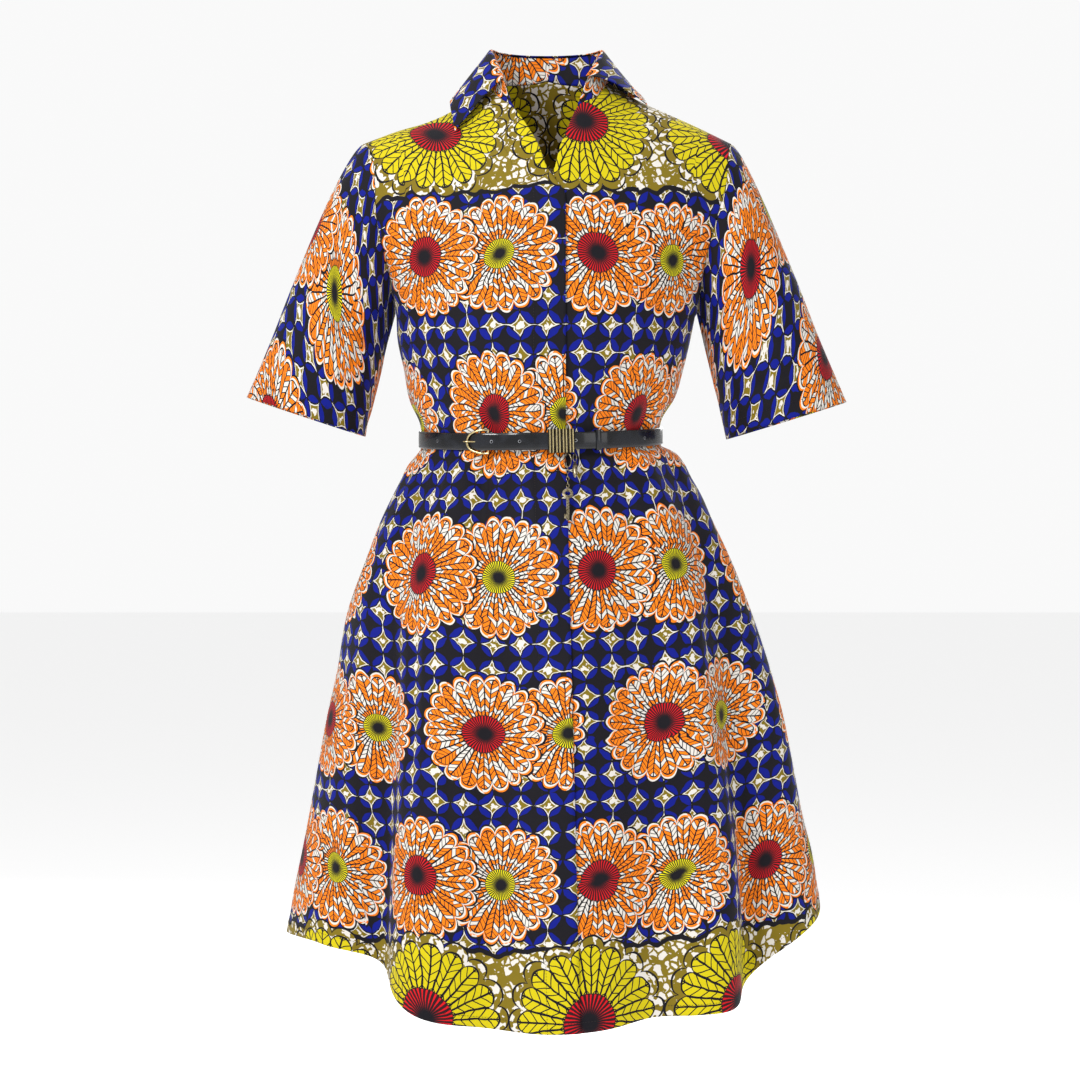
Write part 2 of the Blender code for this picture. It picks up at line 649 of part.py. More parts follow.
def collar_grids(neck):
    """Outer points of the stand, and under points of the fall, by rows."""
    line, faces, edges = (denser(part, COLLAR_NODE_STEPS) for part in neck)
    count = len(line)
    places = [k / COLLAR_NODE_STEPS for k in range(count)]
    folds = np.array([[table_value(COLLAR, "place", "fold_" + axis, place) for axis in "xyz"] for place in places])
    tangents = np.gradient(folds, axis=0)
    stand = np.empty((STAND_ROWS, count, 3))
    fall = np.empty((FALL_ROWS + 2, count, 3))
    for k, place in enumerate(places):
        fold = folds[k]
        tangent = unit(tangents[k])
        seam = line[k] + SEAM_GAP * unit(edges[k]) * STAND_OFF + SEAM_GAP * faces[k] * STAND_OUT
        for i, t in enumerate(np.linspace(0, 1, STAND_ROWS)):
            stand[i, k] = seam + (fold - seam) * t
        up = unit((fold - seam) - tangent * float((fold - seam) @ tangent))
        away = np.cross(up, tangent)
        if away @ [fold[0], fold[1], 0.0] < 0:
            away = -away
        gap = 2 * SEAM_GAP
        fall[0, k] = fold - away * WALL + up * gap
        fall[1, k] = fold + away * gap + up * gap * 0.5
        edge = collar_edge(place)
        drop = edge - fall[1, k]
        side_out = unit(np.cross(np.cross(drop, away + up * FALL_LEAN), drop))
        bow = table_value(COLLAR, "place", "bow", place)
        for i in range(1, FALL_ROWS + 1):
            t = i / FALL_ROWS
            fall[i + 1, k] = fall[1, k] + drop * t + side_out * bow * math.sin(math.pi * t**FALL_ROUND)
    return stand, fall


def collar_edge(place):
    """A point of the fall's outer edge, seated over the shoulder."""
    x = table_value(COLLAR, "place", "edge_x", place)
    over = table_value(COLLAR, "place", "edge_over", place)
    face = "front" if over <= 90 else "back"
    level = over if over <= 90 else 180 - over
    point, normal = cloth_point(face, "yoke", level, x)
    return point + normal * table_value(COLLAR, "place", "edge_lift", place)


def belt_point(angle, out_by, up_by):
    """A point beside the belt's line round the waist."""
    turn = math.radians(angle)
    half = table_value(SECTIONS, "z", "left" if math.sin(turn) > 0 else "right", BELT_Z)
    depth = table_value(SECTIONS, "z", "front" if math.cos(turn) > 0 else "back", BELT_Z)
    x = half * math.sin(turn)
    y = -depth * math.cos(turn)
    rise = BELT_TILT * depth * math.sin(turn) + BELT_ROLL * half * math.cos(turn)
    along = unit(np.array([half * math.cos(turn), depth * math.sin(turn), rise]))
    out = unit(np.array([math.sin(turn) / half, -math.cos(turn) / depth, 0.0]))
    up = np.cross(out, along)
    return np.array([x, y, BELT_Z + BELT_TILT * y + BELT_ROLL * x]) + out * out_by + up * up_by


def strap_out(path_angle):
    """How far out the strap's inner face lies: past 360 less the tail's start it lies on the first turn."""
    here = turn_apart(path_angle, 0)
    window = ease((here - STRAP_FRONT_FROM) / STRAP_FRONT_FADE + 1) * ease(
        (STRAP_FRONT_TO - here) / STRAP_FRONT_FADE + 1
    )
    base = STRAP_CLEAR + (STRAP_FRONT_CLEAR - STRAP_CLEAR) * window
    tail = ease((path_angle - 360 - TAIL_FROM) / (TAIL_ON - TAIL_FROM))
    return base + tail * (STRAP_THICK + SEAM_GAP)


def strap_mesh():
    """The belt's strip, once round the waist and on under the slide and keeper."""
    end = 360 + TAIL_END
    angles = np.linspace(STRAP_START, end, int((end - STRAP_START) / STRAP_STEP) + 1)
    half = STRAP_HEIGHT / 2
    outer = [[belt_point(a, strap_out(a) + STRAP_THICK, rise) for a in angles] for rise in (half, -half)]
    inner = [[belt_point(a, strap_out(a), rise) for a in angles] for rise in (half, -half)]
    return wall_mesh(np.array(outer), np.array(inner))


def loop_mesh(angles, outs, half_height, hole_half_height):
    """A rectangular loop round the strap: outs holds how far the front face stands out at each angle."""
    low = STRAP_FRONT_CLEAR - HOLE_SLACK_IN
    high = STRAP_FRONT_CLEAR + 2 * STRAP_THICK + SEAM_GAP + HOLE_SLACK_OUT
    outer = []
    inner = []
    for angle, more in zip(angles, outs):
        face = high + LOOP_FACE + more
        corners = [(face, half_height), (face, -half_height)]
        corners += [(low - LOOP_BACK, -half_height), (low - LOOP_BACK, half_height)]
        holes = [(high, hole_half_height), (high, -hole_half_height)]
        holes += [(low, -hole_half_height), (low, hole_half_height)]
        outer.append([belt_point(angle, out, rise) for out, rise in corners])
        inner.append([belt_point(angle, out, rise) for out, rise in holes])
    return wall_mesh(np.array(outer), np.array(inner), closed=True)


def slide_mesh():
    """The slide ornament: a loop whose front carries upright bars."""
    angles = []
    outs = []
    width = (SLIDE_TO - SLIDE_FROM) / SLIDE_BARS
    for bar in range(SLIDE_BARS):
        start = SLIDE_FROM + bar * width
        angles += [start, *(start + step * width for step in SLIDE_BAR_STEPS)]
        outs += [0.0, 0.0, SLIDE_BAR_OUT, SLIDE_BAR_OUT, 0.0]
    angles.append(SLIDE_TO)
    outs.append(0.0)
    return loop_mesh(angles, outs, SLIDE_HALF_HEIGHT, SLIDE_HOLE_HALF_HEIGHT)


def wire(name, points, radius, material, closed, collection=None, sides=1):
    """A round wire through points."""
    curve = bpy.data.curves.new(name, "CURVE")
    curve.dimensions = "3D"
    curve.bevel_depth = radius
    curve.bevel_resolution = sides
    curve.use_fill_caps = True
    line = curve.splines.new("POLY")
    line.points.add(len(points) - 1)
    for knot, point in zip(line.points, points):
        knot.co = (*point, 1.0)
    line.use_cyclic_u = closed
    curve.materials.append(material)
    piece = bpy.data.objects.new(name, curve)
    bpy.data.collections[collection or COLLECTION].objects.link(piece)
    return piece


def as_mesh(piece):
    """The piece as a welded mesh object with the same name, in place of the curve."""
    bpy.context.view_layer.update()
    graph = bpy.context.evaluated_depsgraph_get()
    mesh = bpy.data.meshes.new_from_object(piece.evaluated_get(graph))
    frame = bmesh.new()
    frame.from_mesh(mesh)
    bmesh.ops.remove_doubles(frame, verts=frame.verts, dist=1e-6)
    bmesh.ops.recalc_face_normals(frame, faces=frame.faces)
    frame.to_mesh(mesh)
    frame.free()
    name = piece.name
    home = piece.users_collection[0]
    bpy.data.objects.remove(piece)
    solid = bpy.data.objects.new(name, mesh)
    home.objects.link(solid)
    return solid


def combine(piece, other, operation):
    """A Boolean of a piece with a helper that stays hidden."""
    other.hide_render = True
    other.display_type = "WIRE"
    step = piece.modifiers.new(operation.title(), "BOOLEAN")
    step.operation = operation
    step.solver = "EXACT"
    step.object = other


def oval(centre, across, along, half_width, half_length, count):
    """Points round an oval."""
    turns = [2 * math.pi * i / count for i in range(count)]
    return [centre + across * half_width * math.sin(t) - along * half_length * math.cos(t) for t in turns]


def plate(name, outline, pivot, thick, material, collection=None):
    """A flat plate in the plane of the hanging charms, from an outline of (across, down) pairs."""
    across, down, front = hang_axes()
    count = len(outline)
    vertices = []
    for layer in (0.5, -0.5):
        vertices += [pivot + across * a + down * b + front * thick * layer for a, b in outline]
    faces = [tuple(range(count)), tuple(range(2 * count - 1, count - 1, -1))]
    faces += [(i, (i + 1) % count, (i + 1) % count + count, i + count) for i in range(count)]
    return mesh_in(name, vertices, faces, material, collection)


def mesh_in(name, vertices, faces, material, collection):
    """A mesh object, moved to a helper collection if one is named."""
    piece = mesh_object(name, vertices, faces, material)
    if collection:
        bpy.data.collections[COLLECTION].objects.unlink(piece)
        bpy.data.collections[collection].objects.link(piece)
    return piece


def hang_axes():
    """Across, down along the slope, and out from the skirt."""
    slope = math.radians(HANG_SLOPE)
    down = np.array([0.0, -math.sin(slope), -math.cos(slope)])
    front = np.array([0.0, -math.cos(slope), math.sin(slope)])
    return np.array([1.0, 0.0, 0.0]), down, front


def eye_point(name):
    """Centre of an eye under the slide."""
    out = STRAP_FRONT_CLEAR + 2 * STRAP_THICK + SEAM_GAP + EYE_OUT
    return belt_point(EYE_ANGLES[name], out, -EYE_DROP)


def add_belt(leather, metal):
    """The strap, keeper, buckle and slide."""
    strap = mesh_object("belt_strap", *strap_mesh(), leather)
    slot = mesh_in("prong_slot", *slot_box(), leather, CUTTERS)
    combine(strap, slot, "DIFFERENCE")
    keeper = loop_mesh([KEEPER_FROM, KEEPER_TO], [0, 0], KEEPER_HALF_HEIGHT, KEEPER_HOLE_HALF_HEIGHT)
    mesh_object("belt_keeper", *keeper, leather)
    across_power, rise_power = FRAME_POWERS
    path = []
    for step in range(FRAME_STEPS + 1):
        turn = math.pi * step / FRAME_STEPS
        reach = math.sin(turn) ** across_power
        rise = FRAME_RISE * math.copysign(abs(math.cos(turn)) ** rise_power, math.cos(turn))
        out = BAR_OUT + (FRAME_OUT - BAR_OUT) * math.sqrt(reach)
        path.append(belt_point(BAR_ANGLE - FRAME_TURN * reach, out, rise))
    wire("buckle_frame", path, FRAME_WIRE, metal, True, sides=2)
    prong = [belt_point(angle, out, 0.0) for angle, out in zip(PRONG["angle"], PRONG["out"])]
    wire("buckle_prong", prong, PRONG_WIRE, metal, False, sides=2)
    slide = mesh_object("belt_slide", *slide_mesh(), metal)
    for name, angle in EYE_ANGLES.items():
        centre = eye_point(name)
        up = unit(belt_point(angle, 0.0, 0.01) - belt_point(angle, 0.0, 0.0))
        out = unit(belt_point(angle, 0.01, 0.0) - belt_point(angle, 0.0, 0.0))
        eye = wire("eye_" + name, oval(centre, out, up, EYE_RADIUS, EYE_RADIUS, 12), EYE_WIRE, metal, True, CUTTERS)
        combine(slide, as_mesh(eye), "UNION")


def slot_box():
    """The slot in the strap that the prong comes through."""
    half_turn = math.degrees(SLOT_LONG / 2 / table_value(SECTIONS, "z", "front", BELT_Z))
    vertices = []
    for angle in (SLOT_ANGLE - half_turn, SLOT_ANGLE + half_turn):
        for out in SLOT_REACH:
            for rise in (-SLOT_HIGH / 2, SLOT_HIGH / 2):
                vertices.append(belt_point(angle, out, rise))
    faces = [(0, 1, 3, 2), (4, 6, 7, 5), (0, 4, 5, 1), (2, 3, 7, 6), (0, 2, 6, 4), (1, 5, 7, 3)]
    return vertices, faces


def add_charms(metal):
    """The ring, chain and key, and the leaf, hanging from the slide."""
    across, down, front = hang_axes()
    pivot = eye_point("chain")
    centre = pivot + down * RING_HALF_LENGTH
    ring = oval(centre, across, down, RING_HALF_WIDTH, RING_HALF_LENGTH, 20)
    wire("charm_ring", ring, RING_WIRE, metal, True)

    chain = None
    top = LINK_TOP
    for link in range(LINKS):
        last = link == LINKS - 1
        half = LAST_LINK_HALF_LENGTH if last else LINK_HALF_LENGTH
        width = LAST_LINK_HALF_WIDTH if last else LINK_HALF_WIDTH
        side = front if link % 2 == 0 else across
        points = oval(pivot + down * (top + half), side, down, width, half, 10)
        name = "charm_chain" if link == 0 else f"link_{link}"
        piece = as_mesh(wire(name, points, LINK_WIRE, metal, True, None if link == 0 else CUTTERS, sides=1))
        if link == 0:
            chain = piece
        else:
            combine(chain, piece, "UNION")
        top += 2 * half

    turns = [2 * math.pi * i / 24 for i in range(24)]
    disc = [(KEY_DISC_RADIUS * math.sin(t), KEY_DISC_AT - KEY_DISC_RADIUS * math.cos(t)) for t in turns]
    key = plate("charm_key", disc, pivot, KEY_THICK, metal)
    half = KEY_SHANK_WIDTH / 2
    start = KEY_DISC_AT + KEY_HOLE_RADIUS + KEY_STEM_OVERLAP
    bit = -half - KEY_BIT_WIDTH
    low = KEY_END - KEY_BIT_TO
    high = KEY_END - KEY_BIT_FROM
    shank = [(half, start), (half, KEY_END), (-half, KEY_END), (-half, low)]
    shank += [(bit, low), (bit, high), (-half, high), (-half, start)]
    stem = plate("key_stem", shank[::-1], pivot, KEY_STEM_THICK, metal, CUTTERS)
    combine(key, stem, "UNION")
    hole = [(KEY_HOLE_RADIUS * math.sin(t), KEY_DISC_AT - KEY_HOLE_RADIUS * math.cos(t)) for t in turns]
    combine(key, plate("key_hole", hole, pivot, KEY_THICK * 3, metal, CUTTERS), "DIFFERENCE")

    pivot = eye_point("leaf")
    middle = (LEAF_FROM + LEAF_TO) / 2
    length = LEAF_TO - LEAF_FROM
    sides = []
    for i in range(20):
        turn = 2 * math.pi * i / 20
        width = LEAF_WIDTH / 2 * math.sin(turn) * abs(math.sin(turn)) ** LEAF_POINT
        sides.append((width, middle - length / 2 * math.cos(turn)))
    leaf = plate("charm_leaf", sides, pivot, LEAF_THICK, metal)
    centre = pivot + down * LEAF_LOOP_HALF_LENGTH
    loop = oval(centre, across, down, LEAF_LOOP_HALF_WIDTH, LEAF_LOOP_HALF_LENGTH, 14)
    combine(leaf, as_mesh(wire("leaf_loop", loop, LEAF_LOOP_WIRE, metal, True, CUTTERS)), "UNION")


def make_material(name, colour, roughness, metallic):
    """A plain Principled material."""
    material = bpy.data.materials.new(name)
    material.use_nodes = True
    shader = material.node_tree.nodes["Principled BSDF"]
    shader.inputs["Base Color"].default_value = (*colour, 1.0)
    shader.inputs["Roughness"].default_value = roughness
    shader.inputs["Metallic"].default_value = metallic
    material.diffuse_color = (*colour, 1.0)
    return material


def add_cloth():
    """Fronts, back, sleeves and collar."""
    colours = {
        "front_right": (0.75, 0.35, 0.05),
        "front_left": (0.05, 0.08, 0.42),
        "back": (0.62, 0.52, 0.03),
        "sleeve_right": (0.20, 0.16, 0.45),
        "sleeve_left": (0.20, 0.16, 0.45),
        "collar_stand": (0.35, 0.22, 0.04),
        "collar_fall": (0.03, 0.06, 0.35),
    }
    cloth = {name: make_material(name, colour, 0.75, 0.0) for name, colour in colours.items()}
    fronts = {side: front_grid(side) for side in ("right", "left")}
    back = back_grid()
    for side, (points, normals) in fronts.items():
        name = "front_" + side
        mesh_object(name, *wall_mesh(points, points - normals * WALL), cloth[name])
    mesh_object("back", *wall_mesh(back[0], back[0] - back[1] * WALL), cloth["back"])

    for index, side in enumerate(("right", "left")):
        loop, normals, edges = armhole_loop(side, *fronts[side], *back)
        outer = sleeve_grid(index, loop, normals, edges)
        out = grid_normals(outer, True)
        if np.sum(out[-1] * (outer[-1] - outer[-1].mean(axis=0))) < 0:
            out = -out
        out[0] = keep_off(out[0], edges)
        name = "sleeve_" + side
        mesh_object(name, *wall_mesh(outer, outer - out * WALL, closed=True), cloth[name])

    neck = neck_line(fronts, back)
    stand, fall = collar_grids(neck)
    out = grid_normals(stand, False)
    if np.sum(out * (stand - stand.mean(axis=(0, 1))) * [1, 1, 0]) < 0:
        out = -out
    edges = denser(neck[2], COLLAR_NODE_STEPS)
    out[0] = keep_off(out[0], edges / np.linalg.norm(edges, axis=1, keepdims=True))
    mesh_object("collar_stand", *wall_mesh(stand, stand - out * WALL), cloth["collar_stand"])
    out = grid_normals(fall, False)
    if out[:, :, 2].sum() < 0:
        out = -out
    mesh_object("collar_fall", *wall_mesh(fall + out * WALL, fall), cloth["collar_fall"])


def main():
    """Clear the scene and model the dress."""
    for piece in list(bpy.data.objects):
        bpy.data.objects.remove(piece)
    for name in (COLLECTION, CUTTERS):
        bpy.context.scene.collection.children.link(bpy.data.collections.new(name))
    bpy.data.collections[CUTTERS].hide_render = True
    add_cloth()
    leather = make_material("patent_leather", (0.012, 0.013, 0.016), 0.18, 0.0)
    add_belt(leather, make_material("metal", (0.62, 0.55, 0.40), 0.28, 1.0))
    add_charms(make_material("old_metal", (0.42, 0.38, 0.30), 0.38, 1.0))


main()
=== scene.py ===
"""Ankara wax print shirt dress: its cloth, wax print, stitching, patent belt and charms.

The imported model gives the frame. The cloth panels are thin shells on the same form as
their solids, with finer folds, and the print runs in each panel's own cloth coordinates.

Metres, +Z up. The front faces -Y and the wearer's left is +X. Angles round the body are
in degrees: 0 at the centre front, 90 at the wearer's left side seam, 180 at the centre
back. Above the underarm a level in degrees takes the place of the height: 90 is the
shoulder seam and 0 is the underarm.
"""

import logging
import math
from collections.abc import Callable
from dataclasses import dataclass
from enum import Enum

import bmesh
import bpy
import numpy as np
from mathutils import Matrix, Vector


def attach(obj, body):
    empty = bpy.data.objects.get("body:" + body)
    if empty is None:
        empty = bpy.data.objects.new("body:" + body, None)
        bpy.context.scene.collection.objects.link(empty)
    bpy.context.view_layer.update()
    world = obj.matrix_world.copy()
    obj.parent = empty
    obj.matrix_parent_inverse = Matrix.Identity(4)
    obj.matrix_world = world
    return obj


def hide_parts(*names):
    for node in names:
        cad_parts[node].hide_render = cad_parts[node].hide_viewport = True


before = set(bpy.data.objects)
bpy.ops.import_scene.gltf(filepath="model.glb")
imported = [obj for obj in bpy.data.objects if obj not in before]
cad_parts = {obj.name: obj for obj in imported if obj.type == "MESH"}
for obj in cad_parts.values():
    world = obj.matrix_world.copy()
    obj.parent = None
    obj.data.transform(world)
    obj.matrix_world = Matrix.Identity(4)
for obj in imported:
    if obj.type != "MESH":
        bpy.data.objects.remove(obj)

LOG = logging.getLogger("ankara_dress")
Array = np.ndarray
Table = dict[str, tuple[float, ...]]

BODY = "dress"
NOISE_DETAIL = 1.5
THREAD_PROUD = 0.00015

# Driving dimensions, as in the solids
SEAM_GAP = 0.00035
UNDERARM_Z = -0.205
HIP_Z = -0.60
HEM_LOW_Z = -0.94
FRONT_DEPTH = 0.115
BACK_DEPTH = 0.100
BELT_Z = -0.337
BELT_TILT = 0.08
BELT_ROLL = 0.016
BELT_TILT_REACH = 0.06
FOLD_ENTRY = 0.05
FOLD_SWAY = 0.6
PLACKET_EDGE_X = 0.019
PLACKET_HEM_EDGE_X = 0.032
PLACKET_WIDTH = 0.035
PLACKET_LIFT = 0.0022
PLACKET_FADE = 0.030
BUST_DEPTH = 0.010
BUST_X = 0.082
BUST_Z = -0.235
BUST_WIDTH = 0.055
BUST_HEIGHT = 0.075
BUST_CLEAR = 0.018

# Height of the shoulder line over the distance from the middle of the neck
SHOULDER: Table = {
    "reach": (0.000, 0.030, 0.066, 0.085, 0.102, 0.128, 0.158, 0.198),
    "right_z": (0.084, 0.070, 0.041, 0.023, 0.011, -0.001, -0.010, -0.0246),
    "left_z": (0.084, 0.070, 0.041, 0.029, 0.020, 0.0085, -0.005, -0.0246),
}

# Armhole edge: distance from the middle, and how far round the edge lies
ARMHOLE: Table = {
    "level": (0, 15, 30, 45, 60, 75, 90),
    "right_x": (0.162, 0.169, 0.179, 0.181, 0.184, 0.191, 0.198),
    "left_x": (0.160, 0.167, 0.178, 0.188, 0.191, 0.194, 0.198),
    "turn": (90, 71, 60, 52, 43, 36, 33),
}

# Neckline and front edge: x of the edge of each front
NECKLINE: Table = {
    "level": (0, 19.6, 24.6, 28.6, 36, 42.7, 50.4, 60, 70, 90),
    "right_front": (0.019, 0.019, 0.0183, 0.003, -0.009, -0.0215, -0.0353, -0.052, -0.0605, -0.066),
    "left_front": (-0.016, -0.016, -0.003, 0.0054, 0.0133, 0.0223, 0.0320, 0.052, 0.0605, 0.066),
}
BACK_NECK_LEVEL = 62.5
BACK_NECK_PLACE = 0.317

# Half widths and depths of the dress below the underarm
SECTIONS: Table = {
    "z": (-0.205, -0.233, -0.265, -0.298, -0.321, -0.337, -0.3475, -0.3535, -0.365, -0.380, -0.400,
          -0.426, -0.458, -0.522, -0.586, -0.651, -0.715, -0.779, -0.827, -0.860, -0.945),
    "right": (0.1615, 0.1600, 0.153, 0.1466, 0.1360, 0.134, 0.1345, 0.1385, 0.1475, 0.1545, 0.1645,
              0.1766, 0.189, 0.212, 0.2227, 0.2366, 0.248, 0.260, 0.2697, 0.275, 0.285),
    "left": (0.1585, 0.153, 0.1455, 0.136, 0.1225, 0.1205, 0.1212, 0.1345, 0.1455, 0.1535, 0.1650,
             0.1765, 0.1915, 0.217, 0.2386, 0.2525, 0.266, 0.2836, 0.292, 0.297, 0.305),
    "front": (0.115, 0.117, 0.115, 0.108, 0.0995, 0.099, 0.0990, 0.1000, 0.1065, 0.1140, 0.1240,
              0.135, 0.146, 0.162, 0.173, 0.183, 0.191, 0.199, 0.204, 0.207, 0.212),
    "back": (0.100, 0.101, 0.098, 0.093, 0.0860, 0.085, 0.0852, 0.0875, 0.0945, 0.1010, 0.1110,
             0.122, 0.134, 0.151, 0.162, 0.171, 0.179, 0.186, 0.191, 0.194, 0.199),
}

# Shirt-tail hem: height of the lower edge round the body
HEM: Table = {
    "angle": (-180, -155, -140, -125, -110, -90, -60, -44, -39, -34, -29, -14,
              0, 11, 20, 30, 39, 46, 54, 70, 90, 110, 125, 140, 155, 180),
    "z": (-0.941, -0.930, -0.908, -0.882, -0.868, -0.864, -0.862, -0.877, -0.889, -0.905, -0.918, -0.934,
          -0.938, -0.934, -0.927, -0.924, -0.918, -0.903, -0.872, -0.838, -0.826, -0.838, -0.860, -0.900,
          -0.930, -0.941),
}

# Skirt folds: where each trough or ridge (positive) runs from the belt to the hem
FOLDS: Table = {
    "belt_angle": (-63, -40, -10, 12, 30, 48, 70, 88, 108, 131, 152, 175, -163, -141, -120, -98),
    "hem_angle": (-41, -25, -12, 6, 22, 35, 46, 64, 95, 122, 146, 172, -165, -143, -119, -84),
    "belt_depth": (-0.005, 0.001, -0.002, 0.0, -0.003, 0.001, -0.005, 0.0,
                   -0.003, 0.001, -0.005, 0.001, -0.005, 0.001, -0.004, 0.001),
    "hem_depth": (-0.034, 0.016, -0.012, 0.009, -0.014, 0.012, -0.030, 0.010,
                  -0.014, 0.014, -0.026, 0.014, -0.024, 0.014, -0.022, 0.002),
    "belt_spread": (9, 9, 8, 8, 8, 8, 8, 9, 10, 10, 9, 10, 9, 10, 10, 10),
    "hem_spread": (7, 10, 7, 9, 7, 8, 6, 10, 12, 12, 10, 12, 10, 12, 11, 13),
}

# Tucks pressed in by the belt: short troughs that fade above and below it
TUCKS: Table = {
    "angle": (-27, 55, 38, -75, 160, -160, 128, -128),
    "depth": (0.007, 0.004, 0.002, 0.003, 0.005, 0.005, 0.003, 0.003),
    "spread": (5, 6, 5, 6, 7, 7, 7, 7),
    "above": (0.045, 0.030, 0.020, 0.030, 0.045, 0.045, 0.03, 0.03),
    "below": (0.130, 0.110, 0.060, 0.080, 0.100, 0.100, 0.07, 0.07),
}

# Collar: the fold line and the outer edge of the fall, by the place along the neck seam:
# 0 the wearer's right front end, 4 and 12 the shoulders, 8 the centre back
COLLAR: Table = {
    "place": (0, 2, 4, 5.5, 7, 8, 9, 10.5, 12, 14, 16),
    "fold_x": (-0.0467, -0.0565, -0.0600, -0.0500, -0.0260, 0.0, 0.0260, 0.0500, 0.0590, 0.0555, 0.0427),
    "fold_y": (-0.0620, -0.0340, 0.0000, 0.0290, 0.0480, 0.0520, 0.0480, 0.0290, 0.0000, -0.0340, -0.0620),
    "fold_z": (0.0350, 0.0600, 0.0750, 0.0765, 0.0768, 0.0768, 0.0768, 0.0765, 0.0745, 0.0600, 0.0375),
    "edge_x": (-0.0950, -0.0985, -0.0950, -0.0780, -0.0420, 0.0, 0.0420, 0.0760, 0.0930, 0.0995, 0.1035),
    "edge_over": (57, 76, 95, 110, 121, 125, 121, 110, 96, 84, 73),
    "edge_lift": (0.0030, 0.0060, 0.0100, 0.0090, 0.0070, 0.0060, 0.0060, 0.0070, 0.0050, 0.0040, 0.0040),
    "bow": (0.002, 0.002, 0.000, 0.001, 0.003, 0.004, 0.003, 0.001, 0.000, 0.002, 0.008),
}


class Side(Enum):
    """The wearer's side, with its sign along X."""

    RIGHT = -1
    LEFT = 1


class Face(Enum):
    """The front or the back of the dress."""

    FRONT = "front"
    BACK = "back"


def table_value(table: Table, key: str, column: str, at: Array | float) -> Array:
    """Read a smooth value of one column of a table.

    Args:
        table: The named columns.
        key: The column that places run along.
        column: The column to read.
        at: Places along the key column.

    Returns:
        The values at those places.
    """
    keys = np.array(table[key], float)
    values = np.array(table[column], float)
    slopes = np.gradient(values, keys)
    at = np.clip(np.asarray(at, float), keys[0], keys[-1])
    i = np.clip(np.searchsorted(keys, at) - 1, 0, len(keys) - 2)
    span = keys[i + 1] - keys[i]
    t = (at - keys[i]) / span
    rise = values[i + 1] - values[i]
    most = 3 * np.abs(rise)
    low = np.clip(slopes[i] * span, -most, most)
    high = np.clip(slopes[i + 1] * span, -most, most)
    blend = t * t * (3 - 2 * t)
    return values[i] + rise * blend + low * t * (1 - t) ** 2 - high * t * t * (1 - t)


def by_height(column: str, z: Array | float) -> Array:
    """Read a column of SECTIONS at heights, which its table lists from the top down."""
    flipped = {"z": SECTIONS["z"][::-1], column: SECTIONS[column][::-1]}
    return table_value(flipped, "z", column, z)


def half_sizes(sine: Array, cosine: Array, z: Array | float) -> tuple[Array, Array]:
    """Return the dress's half width and half depth at a height, on the side that is turned to."""
    half = np.where(sine > 0, by_height("left", z), by_height("right", z))
    return half, np.where(cosine > 0, by_height("front", z), by_height("back", z))


def yoke_width(level: Array, left: Array | bool) -> tuple[Array, Array]:
    """Return how far round the armhole's edge lies at a level, in radians, and the half width there."""
    end = np.radians(table_value(ARMHOLE, "level", "turn", level))
    reach = [table_value(ARMHOLE, "level", column, level) for column in ("left_x", "right_x")]
    return end, np.where(left, *reach) / np.sin(end)


def back_neck_level(share: Array) -> Array:
    """Return the level of the back's upper edge by the place across it, from -1 to 1."""
    return 90 - (90 - BACK_NECK_LEVEL) * np.sqrt(np.clip(1 - (share / BACK_NECK_PLACE) ** 2, 0, None))


def ease(value: Array | float) -> Array:
    """Return a soft step from 0 to 1."""
    value = np.clip(value, 0.0, 1.0)
    return value * value * (3 - 2 * value)


def unit(vectors: Array) -> Array:
    """Return vectors at length 1."""
    return vectors / np.maximum(np.linalg.norm(vectors, axis=-1, keepdims=True), 1e-12)


def turn_apart(angle: Array | float, other: Array | float) -> Array:
    """Return the difference of two angles in degrees, from -180 to 180."""
    return (np.asarray(angle) - other + 180) % 360 - 180


def bump(distance: Array, spread: Array | float) -> Array:
    """Return a bell shape that is 1 at no distance."""
    return np.exp(-((distance / spread) ** 2))


